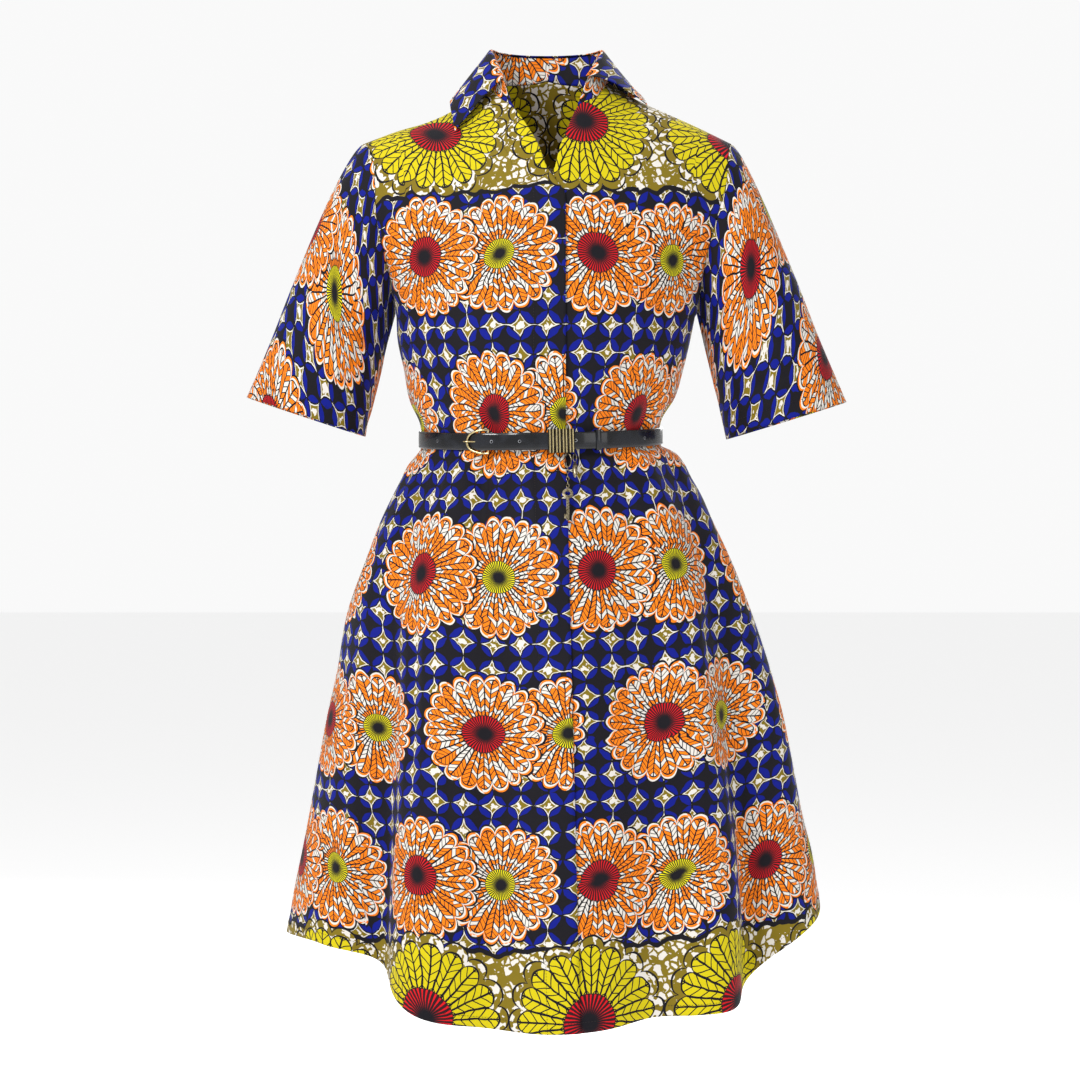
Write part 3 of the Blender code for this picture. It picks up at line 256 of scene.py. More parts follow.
class Form:
    """The outer form of the worn dress, as its solids have it."""

    @staticmethod
    def fold_depth(angle: Array, z: Array) -> Array:
        """Return how far the cloth lies in (below 0) or out on the skirt and at the waist."""
        fall = np.clip((BELT_Z - z) / (BELT_Z - HEM_LOW_Z), 0.0, None)
        grow = ease(fall * 1.15) * 0.5 + fall * 0.5
        enter = ease(fall / FOLD_ENTRY)
        total = np.zeros(np.broadcast(angle, z).shape)
        for belt_at, hem_at, belt_depth, hem_depth, belt_spread, hem_spread in zip(*FOLDS.values()):
            centre = belt_at + turn_apart(hem_at, belt_at) * np.minimum(1.0, fall) ** FOLD_SWAY
            depth = (belt_depth + (hem_depth - belt_depth) * grow) * enter
            spread = belt_spread + (hem_spread - belt_spread) * fall
            total += depth * bump(turn_apart(angle, centre), spread)
        for centre, depth, spread, above, below in zip(*TUCKS.values()):
            reach = np.where(z > BELT_Z, above, below)
            total -= depth * bump(z - BELT_Z, reach) * bump(turn_apart(angle, centre), spread)
        return total

    @staticmethod
    def bust(x: Array, z: Array) -> Array:
        """Return how far the front stands out over the bust."""
        across = bump(np.abs(x) - BUST_X, BUST_WIDTH)
        above_belt = ease((z - BELT_Z - BUST_CLEAR) / BUST_HEIGHT)
        return BUST_DEPTH * across * above_belt * bump(z - BUST_Z, BUST_HEIGHT)

    @classmethod
    def ring(cls, angle: Array, z: Array) -> Array:
        """Return points of the outer cloth below the underarm."""
        turn = np.radians(angle)
        sine, cosine = np.sin(turn), np.cos(turn)
        half, depth = half_sizes(sine, cosine, z)
        out = unit(np.stack([sine / half, -cosine / depth], axis=-1))
        fold = cls.fold_depth(angle, z)
        x = half * sine + out[..., 0] * fold
        y = -depth * cosine + out[..., 1] * fold
        y = y - np.where(cosine > 0, cls.bust(x, z) * np.abs(cosine), 0.0)
        near_belt = bump(z - BELT_Z, BELT_TILT_REACH)
        return np.stack([x, y, z + (BELT_TILT * y + BELT_ROLL * x) * near_belt], axis=-1)

    @classmethod
    def yoke(cls, face: Face, level: Array, x: Array) -> Array:
        """Return points of the outer cloth above the underarm, by level and distance across."""
        left = x > 0
        across = np.clip(x / yoke_width(level, left)[1], -1.0, 1.0)
        ridge = [table_value(SHOULDER, "reach", column, np.abs(x)) for column in ("left_z", "right_z")]
        ridge = np.where(left, *ridge)
        rise = np.radians(level)
        z = UNDERARM_Z + (ridge - UNDERARM_Z) * np.sin(rise)
        lean = np.sqrt(1 - across * across) * np.cos(rise)
        if face is Face.FRONT:
            return np.stack([x, -lean * (FRONT_DEPTH + cls.bust(x, z)), z], axis=-1)
        return np.stack([x, lean * BACK_DEPTH, z], axis=-1)

    @staticmethod
    def row_height(z: Array, angle: Array) -> Array:
        """Return a row's height, drawn in below the hips so that the last row follows the hem."""
        hem = table_value(HEM, "angle", "z", turn_apart(angle, 0))
        low = HIP_Z + (z - HIP_Z) * (hem - HIP_Z) / (HEM_LOW_Z - HIP_Z)
        return np.where(z >= HIP_Z, z, low)

    @staticmethod
    def placket_edges(z: Array | float) -> tuple[Array, Array]:
        """Return x of the under front's edge and of the top front's edge."""
        fall = np.clip((BELT_Z - z) / (BELT_Z - HEM_LOW_Z), 0.0, None)
        top = PLACKET_EDGE_X + (PLACKET_HEM_EDGE_X - PLACKET_EDGE_X) * fall
        return top - PLACKET_WIDTH, top


# Creases pressed into the cloth, seen from the front: where each starts and ends,
# how far it lies in (below 0) or out, and its half width
FRONT_CREASES: Table = {
    "start_x": (-0.062, -0.137, 0.162, -0.023, 0.075, -0.080, 0.065, -0.002, -0.126, 0.129, -0.210, 0.235,
                0.043, -0.027, 0.028, -0.069, -0.103, 0.030, -0.045, 0.104, -0.180, 0.110, -0.095, 0.020),
    "start_z": (-0.352, -0.499, -0.483, -0.356, -0.356, -0.326, -0.328, -0.330, -0.199, -0.199, -0.700, -0.600,
                -0.610, -0.687, -0.060, -0.085, -0.352, -0.354, -0.327, -0.327, -0.520, -0.640, -0.655, -0.140),
    "end_x": (-0.072, -0.140, 0.186, -0.008, 0.096, -0.096, 0.086, 0.001, -0.082, 0.086, -0.235, 0.262,
              0.052, -0.043, 0.094, -0.111, -0.128, 0.038, -0.052, 0.112, -0.205, 0.128, -0.112, 0.052),
    "end_z": (-0.509, -0.737, -0.716, -0.470, -0.468, -0.261, -0.250, -0.282, -0.232, -0.236, -0.810, -0.760,
              -0.880, -0.905, -0.110, -0.137, -0.430, -0.410, -0.285, -0.270, -0.640, -0.850, -0.830, -0.250),
    "depth": (-0.0045, -0.0050, -0.0055, 0.0018, -0.0030, -0.0030, -0.0028, -0.0020, -0.0030, -0.0030,
              -0.0040, 0.0040, -0.0030, 0.0030, -0.0016, -0.0016, -0.0030, -0.0022, 0.0016, -0.0024,
              0.0032, 0.0030, -0.0028, 0.0014),
    "width": (0.007, 0.007, 0.008, 0.007, 0.007, 0.006, 0.006, 0.005, 0.010, 0.010, 0.010, 0.011,
              0.011, 0.012, 0.012, 0.012, 0.006, 0.005, 0.005, 0.005, 0.010, 0.012, 0.010, 0.013),
}
BACK_CREASES: Table = {
    "start_x": (0.055, -0.040, 0.010, -0.085, 0.098, -0.012, 0.062, -0.070, 0.118, -0.122, 0.020, -0.060,
                0.150, -0.150, 0.085, -0.020, 0.200, -0.205),
    "start_z": (-0.352, -0.354, -0.352, -0.351, -0.353, -0.326, -0.325, -0.327, -0.190, -0.205, -0.055, -0.560,
                -0.500, -0.540, -0.600, -0.640, -0.650, -0.580),
    "end_x": (0.068, -0.052, 0.014, -0.104, 0.118, -0.018, 0.080, -0.088, 0.060, -0.070, 0.080, -0.075,
              0.176, -0.180, 0.096, -0.012, 0.232, -0.236),
    "end_z": (-0.500, -0.455, -0.420, -0.440, -0.425, -0.270, -0.255, -0.240, -0.235, -0.230, -0.105, -0.800,
              -0.760, -0.730, -0.870, -0.890, -0.820, -0.790),
    "depth": (-0.0042, -0.0034, 0.0016, -0.0030, -0.0026, -0.0022, -0.0030, -0.0026, -0.0030, -0.0026,
              -0.0016, -0.0036, -0.0046, 0.0036, 0.0034, -0.0030, -0.0038, 0.0040),
    "width": (0.007, 0.006, 0.006, 0.007, 0.006, 0.005, 0.006, 0.006, 0.011, 0.010, 0.013, 0.011,
              0.009, 0.011, 0.012, 0.012, 0.010, 0.011),
}
SLEEVE_CREASES: Table = {
    "start_x": (-0.225, -0.268, -0.180, -0.240, 0.205, 0.178, 0.262, 0.226),
    "start_z": (-0.150, -0.262, -0.215, -0.215, -0.142, -0.300, -0.235, -0.185),
    "end_x": (-0.192, -0.206, -0.218, -0.272, 0.168, 0.262, 0.212, 0.252),
    "end_z": (-0.232, -0.248, -0.290, -0.296, -0.232, -0.268, -0.222, -0.262),
    "depth": (-0.0032, -0.0026, -0.0024, 0.0020, -0.0032, -0.0030, -0.0022, 0.0022),
    "width": (0.009, 0.008, 0.008, 0.010, 0.009, 0.008, 0.008, 0.010),
}


def creases(table: Table, points: Array, mirror: float = 1.0) -> Array:
    """Return how far the listed creases move each point out.

    Args:
        table: The creases.
        points: Points of the cloth.
        mirror: -1 to lay the creases on the other side.

    Returns:
        One distance for each point, along its normal.
    """
    x, z = points[..., 0] * mirror, points[..., 2]
    total = np.zeros(x.shape)
    for start_x, start_z, end_x, end_z, depth, width in zip(*table.values()):
        run_x, run_z = end_x - start_x, end_z - start_z
        length = math.hypot(run_x, run_z)
        along = ((x - start_x) * run_x + (z - start_z) * run_z) / length
        aside = ((x - start_x) * run_z - (z - start_z) * run_x) / length
        enter = ease((along + width) / (0.35 * length))
        leave = ease((length + width - along) / (0.45 * length))
        total += depth * enter * leave * bump(aside, width)
    return total


@dataclass
class Sheet:
    """A grid of points of one cut piece, with its place in the printed cloth."""

    name: str
    points: Array
    normals: Array
    cloth: Array
    closed: bool = False

    def shift(self, lift: Array) -> None:
        """Move the points along their normals."""
        self.points = self.points + self.normals * lift[..., None]


def grid_normals(points: Array, closed: bool) -> Array:
    """Return the normals of a grid of points from its neighbours.

    Args:
        points: Rows of points.
        closed: Whether each row runs right round.

    Returns:
        One normal for each point.
    """
    along = np.gradient(points, axis=0)
    if closed:
        across = np.roll(points, -1, axis=1) - np.roll(points, 1, axis=1)
    else:
        across = np.gradient(points, axis=1)
    return unit(np.cross(across, along))


def walked(points: Array, axis: int) -> Array:
    """Return the distance walked over a grid of points along its rows (1) or columns (0)."""
    steps = np.linalg.norm(np.diff(points, axis=axis), axis=2)
    start = np.zeros_like(np.take(steps, [0], axis=axis))
    return np.concatenate([start, np.cumsum(steps, axis=axis)], axis=axis)


def uneven(points: Array, height: float) -> Array:
    """Return a slight, slow waviness such as pressed cotton keeps."""
    x, y, z = points[..., 0], points[..., 1], points[..., 2]
    wave = np.sin(31 * x + 17 * z + 9 * y + 0.6) + np.sin(-23 * x + 41 * z + 1.9) * 0.7
    wave += np.sin(57 * x + 29 * y - 13 * z + 4.1) * 0.5 + np.sin(71 * z + 37 * y + 2.2) * 0.35
    return height * wave / 2.55


@dataclass
class Body:
    """The two fronts and the back, cut in one from the shoulder to the hem."""

    yoke_rows: int = 66
    ring_rows: int = 200
    front_columns: int = 104
    back_columns: int = 160
    waviness: float = 0.0006
    gather: float = 0.22
    gather_reach: float = 0.085
    blouse: float = 0.023
    blouse_at: float = -0.20
    blouse_reach: float = 0.21
    hem_turn: float = 0.012
    hem_rise: float = 0.0005

    def rows(self) -> tuple[Array, Array]:
        """Return the yoke's levels and the heights of the rows below it."""
        levels = np.linspace(90, 0, self.yoke_rows)
        heights = np.linspace(UNDERARM_Z, HEM_LOW_Z, self.ring_rows + 1)[1:]
        return levels, heights

    def grid(self, face: Face, yoke_x: Array, yoke_level: Array, angles: Array, heights: Array) -> Array:
        """Return the rows of points of a panel from the shoulder to the hem."""
        upper = Form.yoke(face, yoke_level, yoke_x)
        lower = Form.ring(angles, Form.row_height(heights, angles))
        return np.concatenate([upper, lower])

    def front_turns(self, side: Side, columns: Array) -> tuple[Array, Array, Array, Array]:
        """Return the front's columns: x and level on the yoke, then angle and height below."""
        levels, heights = self.rows()
        level = levels[:, None]
        column = "left" if side is Side.LEFT else "right"
        edge = table_value(NECKLINE, "level", column + "_front", level)
        end, width = yoke_width(level, side is Side.LEFT)
        first = np.arcsin(edge / width)
        turns = first + (side.value * end - first) * columns
        z = heights[:, None]
        under, top = Form.placket_edges(z)
        edge = under if side is Side.LEFT else top
        half = np.where(edge > 0, by_height("left", z), by_height("right", z))
        first = np.arcsin(edge / half)
        angles = np.degrees(first + (side.value * math.pi / 2 - first) * columns)
        return width * np.sin(turns), level + 0 * turns, angles, z + 0 * angles

    def cloth_places(self, points: Array, centre: Array) -> Array:
        """Return each point's place in the flat cloth: across from the centre line, up from the belt.

        Args:
            points: The panel's grid.
            centre: The column share at the centre line of each row, which may lie off the panel.
        """
        across = walked(points, 1)
        rows = np.arange(len(points))
        base = np.array([np.interp(centre[i], np.arange(points.shape[1]), across[i]) for i in rows])
        across = across - base[:, None]
        down = walked(points, 0)
        belt_row = np.argmin(np.abs(points[:, :, 2] - BELT_Z), axis=0)
        up = down[belt_row, np.arange(points.shape[1])] - down
        drawn_in = 1 + self.gather * bump(up, self.gather_reach)
        bloused = self.blouse * bump(up - self.blouse_at, self.blouse_reach)
        return np.stack([across * drawn_in, up + bloused], axis=-1)

    def front(self, side: Side) -> Sheet:
        """Return one front."""
        columns = np.linspace(0, 1, self.front_columns)
        x, level, angles, heights = self.front_turns(side, columns[None, :])
        points = self.grid(Face.FRONT, x, level, angles, heights)
        normals = grid_normals(points, False)
        normals *= np.sign(normals[..., 1:2].mean()) * -1
        middle = np.abs(points[:, :, 0]).argmin(axis=1).astype(float)
        cloth = self.cloth_places(points, middle)
        first = points[:, 0, 0][:, None]
        reach = np.where(first * side.value > 0, first, 0.0)
        cloth[..., 0] = cloth[..., 0] * side.value + reach
        sheet = Sheet("front_" + side.name.lower(), points, normals, cloth)
        if side is Side.RIGHT:
            under = Form.placket_edges(points[..., 2])[0] - SEAM_GAP
            sheet.shift(PLACKET_LIFT * (1 - ease((under - points[..., 0]) / PLACKET_FADE)))
        sheet.points[..., 1] -= SEAM_GAP / 2
        return sheet

    def back(self) -> Sheet:
        """Return the back, from the wearer's right side to the left."""
        levels, heights = self.rows()
        share = np.linspace(-1, 1, self.back_columns)[None, :]
        level = back_neck_level(share) * levels[:, None] / 90
        end, width = yoke_width(level, share > 0)
        x = width * np.sin(end * share)
        z = heights[:, None] + 0 * share
        points = self.grid(Face.BACK, x, level, 180 - 90 * share + 0 * z, z)
        normals = grid_normals(points, False)
        normals *= np.sign(normals[..., 1:2].mean())
        middle = np.full(len(points), (self.back_columns - 1) / 2)
        cloth = self.cloth_places(points, middle)
        points[..., 1] += SEAM_GAP / 2
        return Sheet("back", points, normals, cloth)

    def turn_hem(self, sheet: Sheet) -> None:
        """Raise the turned-up hem and its pressed upper edge a little."""
        to_edge = walked(sheet.points, 0)
        to_edge = to_edge[-1:, :] - to_edge
        sheet.shift(self.hem_rise * (1 - ease((to_edge - self.hem_turn) / 0.004)))


@dataclass
class Sleeve:
    """A set-in short sleeve, from the armhole to its flared hem."""

    side: Side
    hem_x: float
    hem_z: float
    half_width: float
    hem_slant: float
    cap: float
    hem_y: float = -0.002
    half_depth: float = 0.0560
    rows: int = 70
    columns: int = 170
    growth: float = 1.3
    cap_out: float = 0.80
    cap_down: float = 0.60
    cap_falloff: float = 1.2
    straightness: float = 0.5

    def armhole(self, front: Sheet, back: Sheet, yoke_rows: int) -> tuple[Array, Array]:
        """Return the points round the armhole, from the top down the front and up the back."""
        column = 0 if self.side is Side.RIGHT else -1
        beside = 1 if self.side is Side.RIGHT else -2
        last = yoke_rows - 1
        front_edge, back_edge = front.points[:yoke_rows, -1], back.points[:yoke_rows, column]
        loop = [(front_edge[0] + back_edge[0]) / 2, *front_edge[1:last]]
        loop += [(front_edge[last] + back_edge[last]) / 2, *back_edge[last - 1 : 0 : -1]]
        away = [*(front_edge[:last] - front.points[:last, -2]), np.array([0.0, 0.0, 1.0])]
        away += [*(back_edge[last - 1 : 0 : -1] - back.points[last - 1 : 0 : -1, beside])]
        return np.array(loop), unit(np.array(away))

    def build(self, front: Sheet, back: Sheet, yoke_rows: int) -> Sheet:
        """Return the sleeve's grid, ring by ring from the armhole to its hem."""
        loop, away = self.armhole(front, back, yoke_rows)
        count = len(loop)
        steps = np.linalg.norm(np.roll(loop, -1, axis=0) - loop, axis=1)
        distance = np.concatenate([[0.0], np.cumsum(steps)])
        under = distance[yoke_rows - 1]
        turn = np.where(
            distance[:count] <= under,
            math.pi * distance[:count] / under,
            math.pi * (1 + (distance[:count] - under) / (distance[count] - under)),
        )
        even = np.linspace(0, 2 * math.pi, self.columns, endpoint=False)
        wrapped = np.concatenate([turn, [2 * math.pi]])
        loop, away = (
            np.stack([np.interp(even, wrapped, np.append(run[:, i], run[0, i])) for i in range(3)], axis=-1)
            for run in (loop, away)
        )
        sign = self.side.value
        out = self.half_width * np.cos(even)
        centre = np.array([sign * self.hem_x, self.hem_y, self.hem_z])
        hem = centre + np.stack([sign * out, -self.half_depth * np.sin(even), self.hem_slant * out], axis=-1)
        start = loop + SEAM_GAP * unit(away)
        straight = hem - start
        cap = np.array([sign * self.cap_out, 0.0, -self.cap_down]) * self.cap
        at_top = np.clip(np.cos(even), 0, None)[:, None] ** self.cap_falloff
        leave = straight * self.straightness * (1 - at_top) + cap * at_top
        t = (np.linspace(0, 1, self.rows) ** self.growth)[:, None, None]
        points = start * (1 - t) ** 2 * (1 + 2 * t) + hem * t * t * (3 - 2 * t)
        points = points + leave * t * (1 - t) ** 2 - straight * t * t * (1 - t)
        normals = grid_normals(points, True)
        if np.sum(normals[-1] * (points[-1] - points[-1].mean(axis=0))) < 0:
            normals = -normals
        around = walked(points, 1)
        total = around[:, -1:] * (1 + 1 / self.columns)
        across = np.where(even[None, :] > math.pi, around - total, around)
        up = -walked(points, 0)
        cloth = np.stack([across * -sign, up], axis=-1)
        return Sheet("sleeve_" + self.side.name.lower(), points, normals, cloth, closed=True)


@dataclass
class CollarForm:
    """The stand round the neck and the fall that turns down over it."""

    wall: float = 0.0015
    stand_rows: int = 14
    fall_rows: int = 30
    steps: int = 10
    stand_off: float = 1.2
    stand_out: float = 0.5
    fall_lean: float = 0.8
    fall_round: float = 0.7
    neck_levels: tuple[float, ...] = (90, 80, 70, 60, 50.4)
    back_neck_columns: int = 4

    def seam(self) -> tuple[Array, Array, Array]:
        """Return points, normals and edge directions of the neck seam, denser than its corners."""
        levels = np.array(self.neck_levels)
        (right, right_faces), (left, left_faces) = (
            self.on_cloth(Face.FRONT, levels, table_value(NECKLINE, "level", column, levels))
            for column in ("right_front", "left_front")
        )
        share = BACK_NECK_PLACE * np.arange(-self.back_neck_columns, self.back_neck_columns + 1)
        share = share / self.back_neck_columns
        level = back_neck_level(share)
        end, width = yoke_width(level, share > 0)
        back, back_faces = self.on_cloth(Face.BACK, level, width * np.sin(end * share))
        points = np.array([*right[:0:-1], *back, *left[1:]])
        normals = np.array([*right_faces[:0:-1], *back_faces, *left_faces[1:]])
        tangents = np.gradient(points, axis=0)
        middle = np.array([0.0, points[:, 1].mean(), points[:, 2].max() + 0.02])
        edges = unit(np.cross(normals, unit(tangents)))
        edges *= np.sign(np.sum(edges * (middle - points), axis=1, keepdims=True))
        return self.denser(points), self.denser(normals), self.denser(edges)

    def on_cloth(self, face: Face, level: Array, x: Array) -> tuple[Array, Array]:
        """Return points and outward normals of the cloth above the underarm."""
        low = np.minimum(level, 89.5)
        step = 0.0005
        across = Form.yoke(face, low, x + step) - Form.yoke(face, low, x - step)
        up = Form.yoke(face, low + 0.5, x) - Form.yoke(face, np.maximum(low - 0.5, 0), x)
        normals = unit(np.cross(across, up))
        if face is Face.BACK:
            normals = -normals
        return Form.yoke(face, level, x), normals

    def denser(self, values: Array) -> Array:
        """Return the same run of values with more steps."""
        places = np.linspace(0, len(values) - 1, (len(values) - 1) * self.steps + 1)
        return np.stack([np.interp(places, np.arange(len(values)), values[:, i]) for i in range(3)], axis=-1)

    def build(self) -> tuple[Sheet, Sheet]:
        """Return the stand's outer side and the fall's upper side."""
        line, faces, edges = self.seam()
        places = np.linspace(0, 16, len(line))
        folds = np.stack([table_value(COLLAR, "place", "fold_" + axis, places) for axis in "xyz"], axis=-1)
        tangents = unit(np.gradient(folds, axis=0))
        seam = line + SEAM_GAP * (unit(edges) * self.stand_off + faces * self.stand_out)
        t = np.linspace(0, 1, self.stand_rows)[:, None, None]
        stand = seam + (folds - seam) * t
        rise = folds - seam
        up = unit(rise - tangents * np.sum(rise * tangents, axis=1, keepdims=True))
        away = np.cross(up, tangents)
        away *= np.sign(np.sum(away[:, :2] * folds[:, :2], axis=1, keepdims=True))
        gap = 2 * SEAM_GAP
        inner = folds - away * self.wall + up * gap
        first = folds + away * gap + up * gap * 0.5
        over = table_value(COLLAR, "place", "edge_over", places)
        edge_x = table_value(COLLAR, "place", "edge_x", places)
        front, front_normals = self.on_cloth(Face.FRONT, np.minimum(over, 90), edge_x)
        back, back_normals = self.on_cloth(Face.BACK, np.minimum(180 - over, 90), edge_x)
        in_front = (over <= 90)[:, None]
        edge = np.where(in_front, front, back)
        lift = table_value(COLLAR, "place", "edge_lift", places)[:, None]
        edge = edge + np.where(in_front, front_normals, back_normals) * lift
        drop = edge - first
        side_out = unit(np.cross(np.cross(drop, away + up * self.fall_lean), drop))
        bow = table_value(COLLAR, "place", "bow", places)[:, None]
        t = np.linspace(0, 1, self.fall_rows)[:, None, None]
        leaf = first + drop * t + side_out * bow * np.sin(math.pi * t**self.fall_round)
        roll = np.linspace(0, 1, 5)[:-1, None, None]
        rolled = inner * (1 - roll) + first * roll + up * self.wall * 0.6 * np.sin(math.pi * roll)
        fall = np.concatenate([rolled, leaf])
        return self.sheet("collar_stand", stand), self.sheet("collar_fall", fall, True)

    def sheet(self, name: str, points: Array, upward: bool = False) -> Sheet:
        """Return a collar piece with its normals turned out, or up for the fall."""
        normals = grid_normals(points, False)
        outward = np.sum(normals * (points - points.mean(axis=(0, 1))) * [1, 1, 0])
        turned = normals[:, :, 2].sum() if upward else outward
        if turned < 0:
            normals = -normals
        if upward:
            points = points + normals * self.wall
        around = walked(points, 1)
        across = around - around[:, -1:] / 2
        return Sheet(name, points, normals, np.stack([across, -walked(points, 0)], axis=-1))


def feed(tree: bpy.types.NodeTree, value: "Dye | Number", socket: bpy.types.NodeSocket) -> None:
    """Give a node's input the result of other nodes, a dye or a plain number."""
    if isinstance(value, Reckoned):
        value = value.socket
    if isinstance(value, bpy.types.NodeSocket):
        tree.links.new(value, socket)
    else:
        socket.default_value = value.value if isinstance(value, Palette) else value


def reckoning(operation: str) -> Callable[..., "Reckoned"]:
    """Return a method that applies one maths operation."""
    return lambda self, *others: self.apply(operation, *others)


class Reckoned:
    """A number inside a material's nodes, reckoned with by plain operators."""

    __add__ = reckoning("ADD")
    __sub__ = reckoning("SUBTRACT")
    __mul__ = reckoning("MULTIPLY")
    __truediv__ = reckoning("DIVIDE")
    __lt__ = reckoning("LESS_THAN")
    __gt__ = reckoning("GREATER_THAN")
    __abs__ = reckoning("ABSOLUTE")
    root = reckoning("SQRT")
    sine = reckoning("SINE")
    part = reckoning("FRACT")
    whole = reckoning("FLOOR")
    most = reckoning("MAXIMUM")

    def __init__(self, tree: bpy.types.NodeTree, socket: bpy.types.NodeSocket) -> None:
        self.tree = tree
        self.socket = socket

    def made(self, kind: str, *fed: "tuple[int, Number]", **settings: str) -> "Reckoned":
        """Return the result of a new node.

        Args:
            kind: The node's kind.
            fed: Pairs of an input's place and what it is given.
            settings: The node's own settings.

        Returns:
            Its first output.
        """
        node = self.tree.nodes.new(kind)
        for name, value in settings.items():
            setattr(node, name, value)
        for place, value in fed:
            feed(self.tree, value, node.inputs[place])
        return Reckoned(self.tree, node.outputs[0])

    def apply(self, operation: str, *others: "Number") -> "Reckoned":
        """Return the result of one maths operation on this number and others."""
        return self.made("ShaderNodeMath", *enumerate((self, *others)), operation=operation)

    def between(self, low: float, high: float) -> "Reckoned":
        """Return a soft step that is 0 at low and 1 at high."""
        ends = (low, high, 0.0, 1.0) if low < high else (high, low, 1.0, 0.0)
        return self.made("ShaderNodeMapRange", *enumerate((self, *ends)), interpolation_type="SMOOTHSTEP")

    def pick(self, if_one: "Number", if_nought: "Number") -> "Reckoned":
        """Return one of two numbers, where this number is 1 or 0."""
        return self.made("ShaderNodeMix", (0, self), (2, if_nought), (3, if_one))


def paint(red: int, green: int, blue: int) -> tuple[float, float, float, float]:
    """Return a paint's colour, given as on a screen from 0 to 255, in the shader's linear scale."""
    linear = [((c / 255 + 0.055) / 1.055) ** 2.4 if c > 10 else c / 255 / 12.92 for c in (red, green, blue)]
    return (linear[0], linear[1], linear[2], 1.0)


class Palette(Enum):
    """The dyes of the wax print."""

    BLACK = paint(17, 15, 22)
    BLUE = paint(4, 20, 128)
    OCHRE = paint(122, 104, 22)
    WHITE = paint(218, 213, 205)
    ORANGE = paint(238, 124, 14)
    RED = paint(205, 14, 24)
    YELLOW = paint(232, 222, 10)
    DEEP_YELLOW = paint(202, 186, 10)


Number = Reckoned | float
Dye = bpy.types.NodeSocket | Palette


class Drawing:
    """The nodes that a printed cloth is drawn with."""

    def __init__(self, tree: bpy.types.NodeTree, uv: bpy.types.NodeSocket) -> None:
        self.tree = tree
        self.uv = uv

    def vector(self, *parts: Number) -> bpy.types.NodeSocket:
        """Return a vector of up to three numbers."""
        node = self.tree.nodes.new("ShaderNodeCombineXYZ")
        for socket, value in zip(node.inputs, parts):
            feed(self.tree, value, socket)
        return node.outputs[0]

    def place(self) -> tuple[Reckoned, Reckoned]:
        """Return the place in the flat cloth, across and up, in metres."""
        node = self.tree.nodes.new("ShaderNodeSeparateXYZ")
        feed(self.tree, self.uv, node.inputs[0])
        return Reckoned(self.tree, node.outputs[0]), Reckoned(self.tree, node.outputs[1])

    def noise(self, scale: float, vector: bpy.types.NodeSocket) -> Reckoned:
        """Return a soft noise from 0 to 1."""
        node = self.tree.nodes.new("ShaderNodeTexNoise")
        node.inputs["Scale"].default_value = scale
        node.inputs["Detail"].default_value = NOISE_DETAIL
        feed(self.tree, vector, node.inputs["Vector"])
        return Reckoned(self.tree, node.outputs[0])

    def chance(self, *parts: Number) -> Reckoned:
        """Return a number from 0 to 1 that is drawn anew for each cell."""
        node = self.tree.nodes.new("ShaderNodeTexWhiteNoise")
        feed(self.tree, self.vector(*parts), node.inputs["Vector"])
        return Reckoned(self.tree, node.outputs["Value"])

    def mix(self, mask: Reckoned, under: Dye, over: Dye) -> bpy.types.NodeSocket:
        """Return the upper colour where the mask is 1 and the lower one elsewhere."""
        node = self.tree.nodes.new("ShaderNodeMix")
        node.data_type = "RGBA"
        for place, value in ((0, mask), (6, under), (7, over)):
            feed(self.tree, value, node.inputs[place])
        return node.outputs[2]


@dataclass
class Petals:
    """Where a point lies in a daisy: radius, offset in its petal, the petal's number and depth inside."""

    radius: Reckoned
    offset: Reckoned
    number: Reckoned
    inside: Reckoned

    def over(self, other: "Petals", mask: Reckoned) -> "Petals":
        """Return this daisy where the mask is 1 and the other elsewhere."""
        return Petals(*(mask.pick(getattr(self, name), getattr(other, name)) for name in vars(self)))


